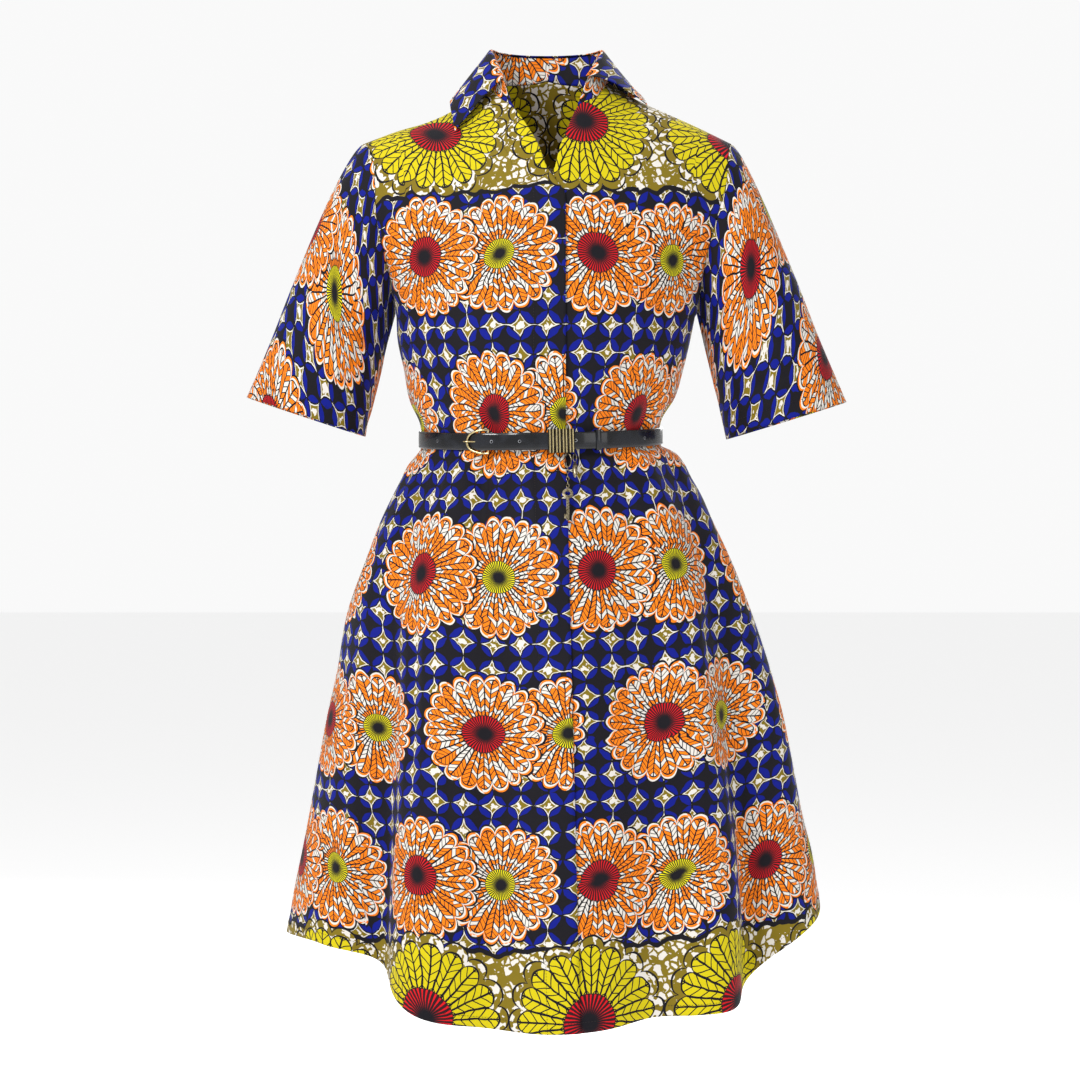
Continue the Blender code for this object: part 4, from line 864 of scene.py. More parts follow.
@dataclass(frozen=True)
class WaxPrint:
    """The print: rows of daisies on a ground of rosettes, with a border of large daisies at each end.

    Sizes are in millimetres of flat cloth, across from the centre line and up from the belt. The
    ground's leaves, cells and stars are measured in shares of one rosette.
    """

    repeat: float = 236.0
    row_height: float = 164.5
    red_across: float = -137.0
    yellow_after: float = 87.0
    row_shift: float = 70.0
    row_up: float = 193.0
    row_sway: float = 6.0
    red_radius: float = 60.0
    yellow_radius: float = 58.0
    petal_count: int = 21
    petal_round: float = 3.6
    border_repeat: float = 172.0
    border_across: float = -130.0
    border_high: float = 342.0
    border_low: float = -607.0
    border_radius: float = 77.0
    border_petals: int = 18
    border_sway: float = 26.0
    border_line_width: float = 5.0
    ground_high: float = 266.0
    ground_low: float = -536.0
    row_clear: float = 2.0
    notch: float = 12.5
    rosette: float = 29.3
    leaf_reach: float = 0.42
    leaf_spread: float = 0.07
    cell_edge: float = 0.462
    star_edge: float = 0.505
    star_outline: tuple[float, float] = (0.495, 0.535)
    rim: float = 4.3
    rim_split: float = 0.55
    outline: float = 2.2
    border_notch: float = 15.0
    border_rim: float = 8.0
    line: float = 0.64
    border_line: float = 0.95
    cell: float = 4.9
    border_cell: float = 9.0
    orange_share: float = 0.42
    rays: int = 42
    red_heart: float = 21.0
    yellow_heart: float = 16.5
    border_heart: float = 29.0
    thread_pitch: float = 0.0009
    weave_height: float = 0.00018

    def build(self) -> bpy.types.Material:
        """Return the material."""
        material = bpy.data.materials.new("wax_print_cotton")
        material.use_nodes = True
        tree = material.node_tree
        shader = tree.nodes["Principled BSDF"]
        uv = tree.nodes.new("ShaderNodeUVMap")
        uv.uv_map = "cloth"
        draw = Drawing(tree, uv.outputs[0])
        across, up = self.drawn_by_hand(draw)
        ground = self.border_ground(draw, self.ground(draw, across, up), across, up)
        daisy, mask, heart, big = self.daisies(draw, across, up)
        flower = self.flower(draw, daisy, heart, big, across, up)
        tree.links.new(draw.mix(mask, ground, flower), shader.inputs["Base Color"])
        for name, value in (("Sheen Weight", 0.04), ("Sheen Roughness", 0.5), ("Specular IOR Level", 0.16)):
            shader.inputs[name].default_value = value
        self.weave(draw, shader)
        return material

    def drawn_by_hand(self, draw: Drawing) -> tuple[Reckoned, Reckoned]:
        """Return the place in the print in millimetres, with a hand's slight wobble."""
        across, up = (number * 1000 for number in draw.place())
        slow = draw.noise(0.021, draw.vector(across, up, 0.0)) - 0.5
        quick = draw.noise(0.085, draw.vector(up, across, 91.0)) - 0.5
        return across + slow * 9.0 + quick * 2.2, up + quick * 2.6 - slow * 7.0

    def ground(self, draw: Drawing, across: Reckoned, up: Reckoned) -> bpy.types.NodeSocket:
        """Return the ground: round black cells with four blue leaves, and stars between them."""
        a, b = across / self.rosette, up / self.rosette
        x = abs(a.part() - 0.5)
        y = abs(b.part() - 0.5)
        own = draw.chance(a.whole(), b.whole(), 3.0)
        wobble = draw.noise(0.13, draw.vector(across, up, 40.0)) - 0.5
        centre = (x * x + y * y).root() + wobble * 0.10
        corner_x, corner_y = x * -1 + 0.5, y * -1 + 0.5
        corner = (corner_x * corner_x + corner_y * corner_y).root() + wobble * 0.12
        leaf = (corner < own * self.leaf_spread + self.leaf_reach) * (centre < self.cell_edge)
        colour = draw.mix(leaf, Palette.BLACK, Palette.BLUE)
        blotch = draw.noise(0.22, draw.vector(across, up, 7.0))
        first, last = self.star_outline
        white = (corner + (blotch - 0.5) * 0.55 < 0.10).most((centre > first) * (centre < last))
        ochre = draw.mix(white, Palette.OCHRE, Palette.WHITE)
        return draw.mix(centre > self.star_edge, colour, ochre)

    def border_ground(
        self, draw: Drawing, colour: bpy.types.NodeSocket, across: Reckoned, up: Reckoned
    ) -> bpy.types.NodeSocket:
        """Return the ground with ochre, crackled ground laid over it in both borders."""
        edge = draw.noise(0.045, draw.vector(across, 5.0, 5.0)) - 0.5
        line = up + edge * self.border_sway
        inside, near = (
            (line > self.ground_high - width).most(line < self.ground_low + width)
            for width in (0.0, self.border_line_width)
        )
        blotch = draw.noise(0.085, draw.vector(across, up, 17.0))
        fine = draw.noise(0.33, draw.vector(up, across, 29.0))
        crackle = draw.tree.nodes.new("ShaderNodeTexVoronoi")
        crackle.feature = "DISTANCE_TO_EDGE"
        crackle.inputs["Scale"].default_value = 0.115
        feed(draw.tree, draw.vector(across + fine * 4, up, 2.0), crackle.inputs["Vector"])
        pebble = Reckoned(draw.tree, crackle.outputs[0]) + (fine - 0.5) * 0.12
        ochre = draw.mix((blotch > 0.46) * (pebble > 0.115), Palette.OCHRE, Palette.WHITE)
        return draw.mix(inside, draw.mix(near, colour, Palette.BLACK), ochre)

    def petals(
        self, dx: Reckoned, dy: Reckoned, radius: float, count: int, turn: Reckoned, notch: float
    ) -> Petals:
        """Return where a point lies in a daisy.

        Args:
            dx: Distance across from its centre.
            dy: Distance up from its centre.
            radius: Its radius.
            count: How many petals it has.
            turn: How far it is turned, in petals.
            notch: How deep the notches between petals are.

        Returns:
            The place among its petals.
        """
        distance = (dx * dx + dy * dy).root()
        angle = dy.apply("ARCTAN2", dx) * (count / (2 * math.pi)) + turn
        offset = angle.part() - 0.5
        scallop = (offset * offset * self.petal_round * -1 + 1).most(0.0).root()
        return Petals(distance, offset, angle.whole(), scallop * notch + (radius - notch) - distance)

    def nearest(self, across: Reckoned, start: Number, repeat: float) -> tuple[Reckoned, Reckoned]:
        """Return the distance to the nearest of evenly spaced centres, and that centre's number."""
        number = ((across - start) / repeat + 0.5).whole()
        return across - start - number * repeat, number

    def daisies(
        self, draw: Drawing, across: Reckoned, up: Reckoned
    ) -> tuple[Petals, Reckoned, Reckoned, Reckoned]:
        """Return the uppermost daisy, where it covers, and whether it is red-hearted or large."""
        edge = self.rim + self.outline
        dy, row = self.nearest(up, self.row_up, self.row_height)
        odd = abs(row * 0.5).part() * 2
        red_start = odd * self.row_shift + self.red_across
        red_dx, red_number = self.nearest(across, red_start, self.repeat)
        yellow_dx, yellow_number = self.nearest(across, red_start + self.yellow_after, self.repeat)
        red_turn = draw.chance(red_number, row, 1.0)
        yellow_turn = draw.chance(yellow_number, row, 8.0)
        dy = dy + (red_turn - 0.5) * self.row_sway
        red = self.petals(red_dx, dy, self.red_radius, self.petal_count, red_turn, self.notch)
        yellow = self.petals(yellow_dx, dy, self.yellow_radius, self.petal_count, yellow_turn, self.notch)
        red_on = red.inside > -edge
        daisy = red.over(yellow, red_on)
        in_rows = (up < self.ground_high - self.row_clear) * (up > self.ground_low + self.row_clear)
        mask = red_on.most(yellow.inside > -edge) * in_rows

        high = up > (self.border_high + self.border_low) / 2
        big_dy = up - high.pick(self.border_high, self.border_low)
        big_dx, big_number = self.nearest(across, self.border_across, self.border_repeat)
        big_turn = draw.chance(big_number, high, 4.0)
        big = self.petals(big_dx, big_dy, self.border_radius, self.border_petals, big_turn, self.border_notch)
        big_on = big.inside > -self.border_rim - self.outline
        return big.over(daisy, big_on), mask.most(big_on), red_on.most(big_on), big_on

    def flower(
        self, draw: Drawing, daisy: Petals, red_heart: Reckoned, big: Reckoned, across: Reckoned, up: Reckoned
    ) -> bpy.types.NodeSocket:
        """Return a daisy's colours: veined petals, a two-toned rim, an outline and a rayed heart.

        Args:
            draw: The material's nodes.
            daisy: The place in the uppermost daisy.
            red_heart: 1 where its heart is red.
            big: 1 where it is a border's large daisy.
            across: Place across the print.
            up: Place up the print.

        Returns:
            The colour.
        """
        width = daisy.radius * big.pick(2 * math.pi / self.border_petals, 2 * math.pi / self.petal_count)
        from_rib = abs(daisy.offset) * width
        to_side = width * 0.5 - from_rib
        cell_length = big.pick(self.border_cell, self.cell)
        steps = (daisy.radius - from_rib * 0.95) / cell_length
        line = big.pick(self.border_line, self.line)
        vein = abs(steps.part() - 0.5) > line * -0.75 / cell_length + 0.5
        drawn = vein.most(from_rib < line).most(to_side < line * 1.15).most(daisy.inside < line * 2.2)
        cell = draw.chance(daisy.number, steps.whole(), daisy.offset > 0)
        tint = draw.noise(0.035, draw.vector(across, up, 70.0))
        fullness = (daisy.radius / 60 - 0.6) * 0.25
        orange = cell + (tint - 0.5) * 1.1 + fullness > self.orange_share
        petal = draw.mix(orange, Palette.WHITE, Palette.ORANGE)
        petal = draw.mix(drawn, draw.mix(big, petal, Palette.DEEP_YELLOW), Palette.BLACK)

        here = draw.vector(across, up, 11.0)
        outer = daisy.inside < self.rim * -self.rim_split
        rim = draw.mix(abs(outer - (draw.noise(0.06, here) > 0.5)), Palette.ORANGE, Palette.WHITE)
        big_rim = draw.mix(draw.noise(0.14, here) > 0.55, Palette.OCHRE, Palette.WHITE)
        rim_width = big.pick(self.border_rim, self.rim)
        rim = draw.mix(rim_width + daisy.inside < 0.0, draw.mix(big, rim, big_rim), Palette.BLACK)
        colour = draw.mix(daisy.inside > 0.0, rim, petal)

        heart_radius = big.pick(self.border_heart, red_heart.pick(self.red_heart, self.yellow_heart))
        inward = daisy.radius / heart_radius
        ray = ((daisy.number + daisy.offset + 0.5) * (self.rays / self.petal_count)).part() - 0.5
        dark = (abs(ray) * 2 < inward * -0.38 + 0.93).most(inward > 0.965)
        heart = draw.mix(red_heart, Palette.YELLOW, Palette.RED)
        heart = draw.mix(dark * 0.96, heart, Palette.BLACK)
        heart = draw.mix(inward.between(0.66, 0.24), heart, Palette.BLACK)
        return draw.mix(inward < 1.0, colour, heart)

    def weave(self, draw: Drawing, shader: bpy.types.Node) -> None:
        """Give the cloth a fine plain weave and a slightly uneven, waxed surface."""
        warp, weft = ((number * (2 * math.pi / self.thread_pitch)).sine() for number in draw.place())
        relief = draw.tree.nodes.new("ShaderNodeBump")
        relief.inputs["Strength"].default_value = 0.35
        relief.inputs["Distance"].default_value = self.weave_height
        feed(draw.tree, warp * weft * 0.5 + draw.noise(120.0, draw.uv), relief.inputs["Height"])
        feed(draw.tree, relief.outputs[0], shader.inputs["Normal"])
        feed(draw.tree, draw.noise(22.0, draw.uv) * 0.16 + 0.64, shader.inputs["Roughness"])


@dataclass(frozen=True)
class Finish:
    """A plain finish with uneven colour, roughness and fine scratches."""

    name: str
    colour: tuple[float, float, float, float]
    second: tuple[float, float, float, float]
    roughness: float
    metallic: float = 0.0
    coat: float = 0.0
    scale: float = 400.0
    relief: float = 0.00005
    grain: float = 1800.0

    def build(self) -> bpy.types.Material:
        """Return the material."""
        material = bpy.data.materials.new(self.name)
        material.use_nodes = True
        tree = material.node_tree
        shader = tree.nodes["Principled BSDF"]
        place = tree.nodes.new("ShaderNodeTexCoord").outputs["Object"]
        patch, fine = (tree.nodes.new("ShaderNodeTexNoise") for _ in range(2))
        patch.inputs["Detail"].default_value = 4.0
        for node, scale in ((patch, self.scale), (fine, self.grain)):
            node.inputs["Scale"].default_value = scale
            feed(tree, place, node.inputs["Vector"])
        uneven_patch = Reckoned(tree, patch.outputs[0])
        blend = tree.nodes.new("ShaderNodeMix")
        blend.data_type = "RGBA"
        for socket, value in ((0, uneven_patch.between(0.42, 0.62)), (6, self.colour), (7, self.second)):
            feed(tree, value, blend.inputs[socket])
        relief = tree.nodes.new("ShaderNodeBump")
        relief.inputs["Strength"].default_value = 0.4
        relief.inputs["Distance"].default_value = self.relief
        feed(tree, fine.outputs[0], relief.inputs["Height"])
        for name, value in (
            ("Base Color", blend.outputs[2]),
            ("Roughness", uneven_patch * 0.18 + (self.roughness - 0.09)),
            ("Metallic", self.metallic),
            ("Coat Weight", self.coat),
            ("Specular IOR Level", 0.3),
            ("Coat Roughness", 0.08),
            ("Normal", relief.outputs[0]),
        ):
            feed(tree, value, shader.inputs[name])
        return material


def grid_faces(rows: int, columns: int, closed: bool) -> list[tuple[int, ...]]:
    """Return the quads of a grid of points, row by row."""
    faces = []
    for start in range(0, (rows - 1) * columns, columns):
        for j in range(columns if closed else columns - 1):
            right = start + (j + 1) % columns
            faces.append((start + j, right, columns + right, start + columns + j))
    return faces


def tube_faces(rings: int, sides: int, start: int = 0) -> list[tuple[int, ...]]:
    """Return the faces of a tube of rings with closed ends, whose first point has this number."""
    end = start + (rings - 1) * sides
    faces = [tuple(start + v for v in face) for face in grid_faces(rings, sides, True)]
    return [*faces, tuple(range(start, start + sides)), tuple(range(end + sides - 1, end - 1, -1))]


def round_turns(count: int) -> list[float]:
    """Return evenly spaced angles once round."""
    return [2 * math.pi * k / count for k in range(count)]


def placed(name: str, data: bpy.types.ID) -> bpy.types.Object:
    """Return a new object in the scene."""
    piece = bpy.data.objects.new(name, data)
    bpy.context.scene.collection.objects.link(piece)
    return piece


def cloth_piece(
    sheet: Sheet, material: bpy.types.Material, thickness: float, shift: tuple[float, float]
) -> bpy.types.Object:
    """Make a thin piece of cloth from a grid, with its place in the print as a UV map.

    Args:
        sheet: The grid; its points are the outer side.
        material: The printed cotton.
        thickness: How thick the cloth is.
        shift: Where the piece was cut from the print: across and up, in metres.

    Returns:
        The piece.
    """
    faces = grid_faces(*sheet.points.shape[:2], sheet.closed)
    points = sheet.points.reshape(-1, 3)
    a, b, c, _ = faces[len(faces) // 2]
    if np.cross(points[b] - points[a], points[c] - points[a]) @ sheet.normals.reshape(-1, 3)[a] < 0:
        faces = [face[::-1] for face in faces]
    mesh = bpy.data.meshes.new(sheet.name)
    mesh.from_pydata(points.tolist(), [], faces)
    places = sheet.cloth.reshape(-1, 2) + np.array(shift)
    layer = mesh.uv_layers.new(name="cloth")
    layer.data.foreach_set("uv", places[np.array(faces).ravel()].ravel())
    mesh.shade_smooth()
    mesh.materials.append(material)
    piece = placed(sheet.name + "_cloth", mesh)
    wall = piece.modifiers.new("Cloth", "SOLIDIFY")
    wall.thickness = thickness
    wall.offset = -1.0
    wall.use_rim = True
    return piece


@dataclass
class Garment:
    """The whole dress in cloth."""

    thickness: float = 0.0007
    crease_fade: float = 0.02
    sleeve_back_drop: float = 0.028

    def pressed(self, sheet: Sheet) -> Array:
        """Return a piece's own creases, other ones at the back of a sleeve than at its front."""
        if not sheet.closed:
            return creases(BACK_CREASES if sheet.name == "back" else FRONT_CREASES, sheet.points)
        ahead = ease(0.5 - 1.5 * sheet.normals[..., 1])
        lower = sheet.points + np.array([0.0, 0.0, self.sleeve_back_drop])
        return creases(SLEEVE_CREASES, sheet.points) * ahead + creases(SLEEVE_CREASES, lower, -1.0) * (1 - ahead)

    def dress(self, print_cloth: bpy.types.Material) -> dict[str, Sheet]:
        """Build each cut piece, make its cloth and put it on the body in place of its solid."""
        body = Body()
        fronts = {side: body.front(side) for side in Side}
        back = body.back()
        sleeves = [
            Sleeve(Side.RIGHT, 0.2575, -0.3155, 0.0635, 0.33, 0.115),
            Sleeve(Side.LEFT, 0.2560, -0.3195, 0.0640, 0.31, 0.085),
        ]
        arms = [sleeve.build(fronts[sleeve.side], back, body.yoke_rows) for sleeve in sleeves]
        for sheet in (*fronts.values(), back):
            body.turn_hem(sheet)
        for sheet in (*fronts.values(), back, *arms):
            fade = ease(walked(sheet.points, 0) / self.crease_fade)
            sheet.shift((uneven(sheet.points, body.waviness) + self.pressed(sheet)) * fade)
        sheets = {sheet.name: sheet for sheet in (*fronts.values(), back, *arms, *CollarForm().build())}
        shifts = {
            "front_left": (0.518, -0.002),
            "front_right": (0.0, 0.0),
            "back": (0.300, 0.004),
            "sleeve_right": (-0.137, -0.029),
            "sleeve_left": (-0.046, -0.058),
            "collar_stand": (0.05, 0.083),
            "collar_fall": (0.02, 0.14),
        }
        for name, sheet in sheets.items():
            piece = cloth_piece(sheet, print_cloth, self.thickness, shifts[name])
            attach(piece, BODY)
            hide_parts(name)
        return sheets


@dataclass
class Belt:
    """The patent belt: strap, keeper, buckle and slide."""

    strap_height: float = 0.018
    strap_thick: float = 0.002
    strap_clear: float = 0.0010
    front_clear: float = 0.0046
    front_from: float = -12
    front_to: float = 28
    front_fade: float = 12
    strap_start: float = -26.1
    tail_from: float = -35.5
    tail_on: float = -29.5
    tail_end: float = 26.6
    step: float = 1.0
    edge_round: float = 0.0006
    crown: float = 0.0003
    slide_from: float = 0.4
    slide_to: float = 12.7
    slide_face: float = 0.01135
    slide_half_height: float = 0.0122
    slide_count: int = 4
    bar_places: tuple[float, ...] = (0.27, 0.73)
    bar_half_width: float = 0.0009
    bar_proud: float = 0.0008
    bar_sides: int = 8
    hole_angles: tuple[float, ...] = (302.5, 335.3, 348.3, 373.3, 56.0)
    hole_sides: int = 16
    rim_radii: tuple[float, ...] = (0.00175, 0.00165, 0.0012, 0.0011)
    rim_heights: tuple[float, ...] = (-0.0004, 0.00012, 0.00015, -0.0004)
    dip_radii: tuple[float, ...] = (0.00112, 0.00112)
    dip_heights: tuple[float, ...] = (-0.0004, 0.00005)

    def point(self, angle: Array | float, out_by: Array | float, up_by: Array | float) -> Array:
        """Return points beside the belt's line round the waist."""
        turn = np.radians(np.asarray(angle, float))
        sine, cosine = np.sin(turn), np.cos(turn)
        half, depth = half_sizes(sine, cosine, BELT_Z)
        x, y = half * sine, -depth * cosine
        rise = BELT_TILT * depth * sine + BELT_ROLL * half * cosine
        along = unit(np.stack([half * cosine, depth * sine, rise], axis=-1))
        out = unit(np.stack([sine / half, -cosine / depth, 0 * x], axis=-1))
        up = np.cross(out, along)
        base = np.stack([x, y, BELT_Z + BELT_TILT * y + BELT_ROLL * x], axis=-1)
        return base + out * np.asarray(out_by)[..., None] + up * np.asarray(up_by)[..., None]

    def axes(self, angle: float) -> tuple[Array, Array, Array]:
        """Return the directions along the belt, up over its height and out."""
        here = self.point(angle, 0.0, 0.0)
        ahead = self.point(angle + 1, 0.0, 0.0) - self.point(angle - 1, 0.0, 0.0)
        return unit(ahead), unit(self.point(angle, 0.0, 0.01) - here), unit(self.point(angle, 0.01, 0.0) - here)

    def strap_out(self, angle: Array) -> Array:
        """Return how far out the strap's inner face lies along its whole length."""
        here = turn_apart(angle, 0)
        window = ease((here - self.front_from) / self.front_fade + 1)
        window = window * ease((self.front_to - here) / self.front_fade + 1)
        base = self.strap_clear + (self.front_clear - self.strap_clear) * window
        tail = ease((angle - 360 - self.tail_from) / (self.tail_on - self.tail_from))
        return base + tail * (self.strap_thick + SEAM_GAP)

    def face_line(self, first: float, last: float, rise: float) -> Array:
        """Return a line along the strap's outer face, from one angle to another."""
        angles = np.linspace(first, last, int(abs(last - first) / self.step) + 1)
        return self.point(angles, self.strap_out(angles) + self.strap_thick + self.crown * 0.5, rise)

    def slide_bars(self, gold: bpy.types.Material) -> None:
        """Lay two thin round bars on each of the slide's four bars."""
        step = (self.slide_to - self.slide_from) / self.slide_count
        points: list[Array] = []
        faces: list[tuple[int, ...]] = []
        for place in (bar + share for bar in range(self.slide_count) for share in self.bar_places):
            angle = self.slide_from + step * place
            ahead = self.axes(angle)[0]
            faces += tube_faces(2, self.bar_sides, len(points))
            for rise in (-self.slide_half_height, self.slide_half_height):
                for turn in round_turns(self.bar_sides):
                    out = self.slide_face + self.bar_proud * math.sin(turn)
                    points.append(self.point(angle, out, rise) + self.bar_half_width * math.cos(turn) * ahead)
        piece = solid("belt_slide_bars", np.array(points), faces, gold)
        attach(piece, BODY)

    def holes(self, rim: bpy.types.Material, dark: bpy.types.Material) -> None:
        """Lay the adjusting holes: a pale rim round each, and inside it a near-black disc of painted shade for the
        inside of the hole.
        """
        # The dips are near-black discs of painted shade that stand for the dark inside of each hole.
        for name, material, slot, radii, heights in (
            ("belt_hole_rims", rim, "pale_gold", self.rim_radii, self.rim_heights),
            ("belt_hole_shade_discs", dark, "patent_leather", self.dip_radii, self.dip_heights),
        ):
            points: list[Array] = []
            faces: list[tuple[int, ...]] = []
            for angle in self.hole_angles:
                centre = self.point(angle, self.strap_out(np.array(angle)) + self.strap_thick + self.crown, 0.0)
                ahead, up, out = self.axes(angle)
                faces += tube_faces(len(radii), self.hole_sides, len(points))
                for radius, height in zip(radii, heights):
                    for turn in round_turns(self.hole_sides):
                        aside = radius * (math.cos(turn) * ahead + math.sin(turn) * up)
                        points.append(centre + aside + height * out)
            piece = solid(name, np.array(points), faces, material)
            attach(piece, BODY)

    def section(self) -> list[tuple[float, float]]:
        """Return the strap's section: pairs of out and up, once round."""
        half, thick, soft = self.strap_height / 2, self.strap_thick, self.edge_round
        face = [(thick - soft, half), (thick, half - soft)]
        face += [(thick + self.crown * (1 - (s / 4) ** 2), (half - soft) * s / 4) for s in (3, 2, 1, 0, -1, -2, -3)]
        face += [(thick, soft - half), (thick - soft, -half)]
        return face + [(soft, -half), (0.0, soft - half), (0.0, half - soft), (soft, half)]

    def strap(self, material: bpy.types.Material) -> None:
        """Lay the strap as one smooth strip."""
        count = int((360 + self.tail_end - self.strap_start) / self.step)
        angles = np.linspace(self.strap_start, 360 + self.tail_end, count)
        outs = self.strap_out(angles)
        points = np.stack([self.point(angles, outs + out, rise) for out, rise in self.section()], axis=1)
        piece = solid("belt_strap_leather", points.reshape(-1, 3), tube_faces(*points.shape[:2]), material)
        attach(piece, BODY)
        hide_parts("belt_strap")


def solid(name: str, points: Array, faces: list, material: bpy.types.Material) -> bpy.types.Object:
    """Make a closed piece whose faces are turned to point out."""
    mesh = bpy.data.meshes.new(name)
    mesh.from_pydata(points.tolist(), [], faces)
    work = bmesh.new()
    work.from_mesh(mesh)
    bmesh.ops.recalc_face_normals(work, faces=work.faces)
    work.to_mesh(mesh)
    work.free()
    mesh.shade_smooth()
    mesh.set_sharp_from_angle(angle=math.radians(50))
    mesh.materials.append(material)
    return placed(name, mesh)


def smooth_copy(
    node: str, ending: str, material: bpy.types.Material, body: str = BODY, soften: float = 0.0
) -> None:
    """Make a smooth-shaded copy of a hard piece, with its edges softened when asked, in place of its solid.

    Args:
        node: The solid's name.
        ending: What the new piece's name adds to it.
        material: Its finish.
        body: The body that it rides on.
        soften: Width of the rounded edges.
    """
    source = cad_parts[node]
    name = node + ending
    mesh = bpy.data.meshes.new(name)
    work = bmesh.new()
    work.from_mesh(source.data)
    bmesh.ops.transform(work, matrix=source.matrix_world, verts=work.verts)
    bmesh.ops.remove_doubles(work, verts=work.verts, dist=1e-6)
    work.to_mesh(mesh)
    work.free()
    mesh.materials.clear()
    mesh.materials.append(material)
    piece = placed(name, mesh)
    if soften > 0:
        edge = piece.modifiers.new("Edges", "BEVEL")
        edge.width = soften
        edge.segments = 2
        edge.limit_method = "ANGLE"
        edge.angle_limit = math.radians(40)
    mesh.shade_smooth()
    mesh.set_sharp_from_angle(angle=math.radians(60))
    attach(piece, body)
    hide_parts(node)


def beside_edge(sheet: Sheet, inset: float, at_hem: bool) -> Array:
    """Return the line on a piece's outer side that runs at one distance from an edge.

    Args:
        sheet: The piece.
        inset: How far from the edge.
        at_hem: True for the lower edge, False for the first column's edge.

    Returns:
        The line's points.
    """
    points, normals = sheet.points, sheet.normals
    if at_hem:
        points, normals = points[::-1].swapaxes(0, 1), normals[::-1].swapaxes(0, 1)
    line = [
        [np.interp(inset, far, row[:, i]) + THREAD_PROUD * np.interp(inset, far, facing[:, i]) for i in range(3)]
        for row, facing, far in zip(points, normals, walked(points, 1))
    ]
    return np.array(line + line[:1] if sheet.closed and at_hem else line)


class Stitcher:
    """Rows of stitches, laid along paths by one node tree."""

    def __init__(self, thread: bpy.types.Material) -> None:
        self.thread = thread
        self.tree = self.build_tree()

    def build_tree(self) -> bpy.types.GeometryNodeTree:
        """Return the tree: a path is cut into even steps, and each step gets one short stitch."""
        tree = bpy.data.node_groups.new("stitch_row", "GeometryNodeTree")
        for name, way, kind in (
            ("Path", "INPUT", "Geometry"),
            ("Spacing", "INPUT", "Float"),
            ("Length", "INPUT", "Float"),
            ("Thickness", "INPUT", "Float"),
            ("Thread", "INPUT", "Material"),
            ("Stitches", "OUTPUT", "Geometry"),
        ):
            tree.interface.new_socket(name, in_out=way, socket_type="NodeSocket" + kind)
        node = {
            name: tree.nodes.new(kind)
            for name, kind in (
                ("given", "NodeGroupInput"),
                ("result", "NodeGroupOutput"),
                ("curve", "GeometryNodeMeshToCurve"),
                ("points", "GeometryNodeCurveToPoints"),
                ("stitch", "GeometryNodeMeshIcoSphere"),
                ("size", "ShaderNodeCombineXYZ"),
                ("form", "GeometryNodeTransform"),
                ("copies", "GeometryNodeInstanceOnPoints"),
                ("turn", "FunctionNodeAlignRotationToVector"),
                ("real", "GeometryNodeRealizeInstances"),
                ("dress", "GeometryNodeSetMaterial"),
            )
        }
        node["points"].mode = "LENGTH"
        node["stitch"].inputs["Radius"].default_value = 0.5
        node["stitch"].inputs["Subdivisions"].default_value = 1
        node["turn"].axis = "X"
        for start, output, end, socket in (
            ("given", "Path", "curve", 0),
            ("curve", 0, "points", "Curve"),
            ("given", "Spacing", "points", "Length"),
            ("given", "Length", "size", 0),
            ("given", "Thickness", "size", 1),
            ("given", "Thickness", "size", 2),
            ("stitch", 0, "form", "Geometry"),
            ("size", 0, "form", "Scale"),
            ("points", "Points", "copies", "Points"),
            ("points", "Tangent", "turn", "Vector"),
            ("turn", 0, "copies", "Rotation"),
            ("form", 0, "copies", "Instance"),
            ("copies", 0, "real", 0),
            ("real", 0, "dress", "Geometry"),
            ("given", "Thread", "dress", "Material"),
            ("dress", 0, "result", 0),
        ):
            tree.links.new(node[start].outputs[output], node[end].inputs[socket])
        return tree

    def sew(
        self, name: str, paths: list[Array], spacing: float, length: float, thickness: float = 0.00045
    ) -> None:
        """Lay stitches along paths as one piece.

        Args:
            name: The piece's name.
            paths: Runs of points on the cloth's face.
            spacing: Distance from stitch to stitch.
            length: Length of a stitch.
            thickness: Thickness of the thread.
        """
        edges: list[tuple[int, int]] = []
        start = 0
        for path in paths:
            edges += [(start + i, start + i + 1) for i in range(len(path) - 1)]
            start += len(path)
        mesh = bpy.data.meshes.new(name + "_path")
        mesh.from_pydata(np.concatenate(paths).tolist(), edges, [])
        guide = placed(name + "_path", mesh)
        maker = guide.modifiers.new("Stitches", "NODES")
        maker.node_group = self.tree
        values = {"Spacing": spacing, "Length": length, "Thickness": thickness, "Thread": self.thread}
        for item in self.tree.interface.items_tree:
            if item.in_out == "INPUT" and item.name in values:
                maker[item.identifier] = values[item.name]
        graph = bpy.context.evaluated_depsgraph_get()
        result = bpy.data.meshes.new_from_object(guide.evaluated_get(graph))
        bpy.data.objects.remove(guide)
        result.shade_smooth()
        piece = placed(name, result)
        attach(piece, BODY)
        LOG.info("%s: %d faces of thread", name, len(result.polygons))


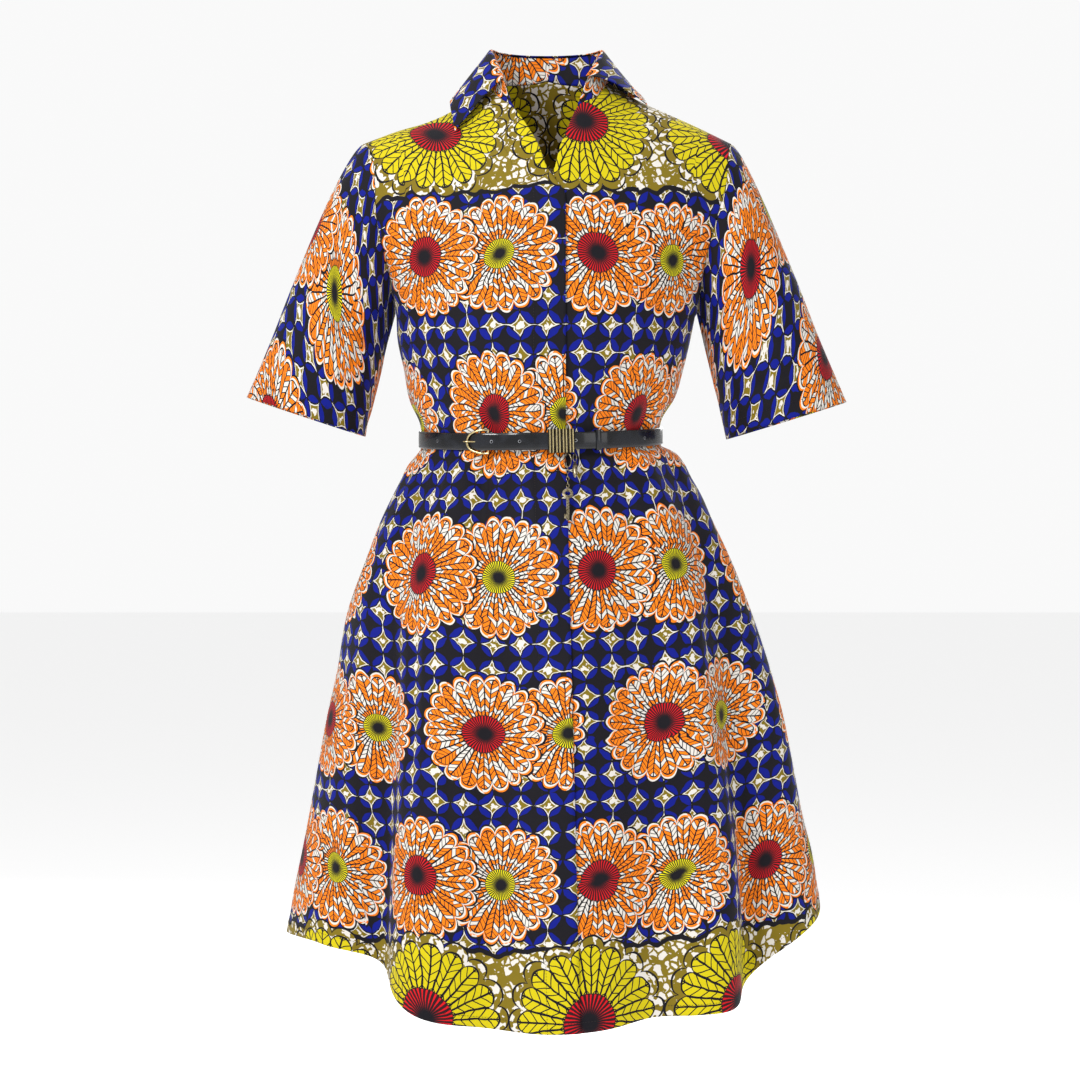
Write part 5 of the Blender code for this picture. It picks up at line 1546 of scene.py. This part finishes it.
@dataclass
class Studio:
    """The camera, the lights and the floor."""

    eye: tuple[float, float, float] = (-0.0075, -3.0, -0.447)
    frame_width: float = 1.1556
    sensor: float = 36.0
    aim: tuple[float, float, float] = (0.0, 0.0, -0.45)
    floor_z: float = -1.30

    def camera(self) -> None:
        """Set the camera at the photograph's angle, level and square to the front."""
        data = bpy.data.cameras.new("camera")
        data.sensor_width = self.sensor
        data.lens = self.sensor * abs(self.eye[1]) / self.frame_width
        camera = placed("camera", data)
        camera.location = self.eye
        camera.rotation_euler = (math.pi / 2, 0.0, 0.0)
        bpy.context.scene.camera = camera

    def light(self, name: str, place: tuple[float, float, float], size: float, power: float) -> None:
        """Hang a soft square light that looks at the dress."""
        data = bpy.data.lights.new(name, "AREA")
        data.size = size
        data.energy = power
        lamp = placed(name, data)
        lamp.location = place
        lamp.rotation_euler = (Vector(self.aim) - Vector(place)).to_track_quat("-Z", "Y").to_euler()

    def floor(self) -> None:
        """Lay the pale floor."""
        mesh = bpy.data.meshes.new("floor")
        work = bmesh.new()
        bmesh.ops.create_grid(work, x_segments=8, y_segments=8, size=30.0)
        work.to_mesh(mesh)
        work.free()
        floor = placed("floor", mesh)
        floor.location = (0.0, 0.0, self.floor_z)
        pale = bpy.data.materials.new("pale_floor")
        pale.use_nodes = True
        for name, value in (
            ("Base Color", (0.90, 0.90, 0.90, 1.0)),
            ("Roughness", 0.95),
            ("Emission Color", (1.0, 1.0, 1.0, 1.0)),
            ("Emission Strength", 0.48),
        ):
            pale.node_tree.nodes["Principled BSDF"].inputs[name].default_value = value
        mesh.materials.append(pale)

    def build(self) -> None:
        """Set up the whole studio."""
        self.camera()
        self.light("key", (-1.9, -2.4, 1.6), 1.1, 98)
        self.light("fill", (2.4, -2.4, 0.6), 2.0, 20)
        self.light("top", (0.0, 0.3, 2.3), 1.6, 26)
        self.light("rear", (0.6, 2.8, 0.8), 2.0, 55)
        world = bpy.data.worlds.new("studio")
        world.use_nodes = True
        tree = world.node_tree
        air = tree.nodes["Background"]
        seen = tree.nodes.new("ShaderNodeLightPath").outputs["Is Camera Ray"]
        feed(tree, Reckoned(tree, seen).pick(0.95, 0.45), air.inputs[1])
        air.inputs[0].default_value = (1.0, 1.0, 1.0, 1.0)
        bpy.context.scene.world = world
        bpy.context.scene.view_settings.view_transform = "Standard"
        self.floor()


def dress_belt() -> Belt:
    """Build the belt's strap, its hard pieces, the charms and the holes."""
    patent = Finish(
        "patent_leather", paint(14, 15, 18), paint(26, 28, 34), 0.24, coat=0.45, scale=60.0, relief=0.00003, grain=260.0
    ).build()
    gold, aged = (
        Finish(name, first, second, roughness, metallic=1.0, scale=scale, relief=0.00001).build()
        for name, first, second, roughness, scale in (
            ("pale_gold", paint(214, 198, 150), paint(186, 168, 120), 0.24, 900.0),
            ("aged_metal", paint(176, 164, 134), paint(104, 92, 70), 0.34, 700.0),
        )
    )
    enamel = Finish("dark_metal", paint(30, 28, 26), paint(58, 52, 40), 0.4, metallic=0.6).build()
    rim = Finish("pale_rim", paint(176, 178, 182), paint(120, 122, 128), 0.35, metallic=0.8).build()
    # Near-black finish of the discs in the belt holes: painted shade of the holes' insides.
    hole_shade = Finish("hole_painted_shade", paint(6, 6, 7), paint(14, 14, 15), 0.9).build()
    belt = Belt()
    belt.strap(patent)
    smooth_copy("belt_keeper", "_leather", patent, soften=0.0003)
    for node in ("buckle_frame", "buckle_prong"):
        smooth_copy(node, "_gold", gold)
    smooth_copy("belt_slide", "_dark", enamel)
    belt.slide_bars(gold)
    for body, soften in (("ring", 0.0), ("chain", 0.0), ("key", 0.0002), ("leaf", 0.0)):
        smooth_copy("charm_" + body, "_metal", aged, body, soften)
    belt.holes(rim, hole_shade)
    return belt


def main() -> None:
    """Build the dress, its belt and charms, the stitching and the studio."""
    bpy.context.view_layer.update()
    sheets = Garment().dress(WaxPrint().build())
    belt = dress_belt()
    stitcher = Stitcher(Finish("dark_thread", paint(26, 22, 26), paint(48, 40, 38), 0.7).build())
    for name, pieces, inset, at_hem, spacing, length in (
        ("hem", ("front_right", "front_left", "back"), 0.0105, True, 0.0030, 0.0023),
        ("cuff", ("sleeve_right", "sleeve_left"), 0.0160, True, 0.0030, 0.0023),
        ("placket", ("front_right",), 0.0330, False, 0.0030, 0.0023),
        ("collar", ("collar_fall",), 0.0050, True, 0.0028, 0.0021),
    ):
        lines = [beside_edge(sheets[piece], inset, at_hem) for piece in pieces]
        stitcher.sew(name + "_stitches", lines, spacing, length)
    lines = [belt.face_line(-25.5, 386.0, rise) for rise in (-0.0072, 0.0072)]
    stitcher.sew("belt_stitches", lines, 0.0026, 0.0020, 0.00050)
    Studio().build()


if __name__ == "__main__":
    logging.basicConfig(level=logging.INFO)
    main()
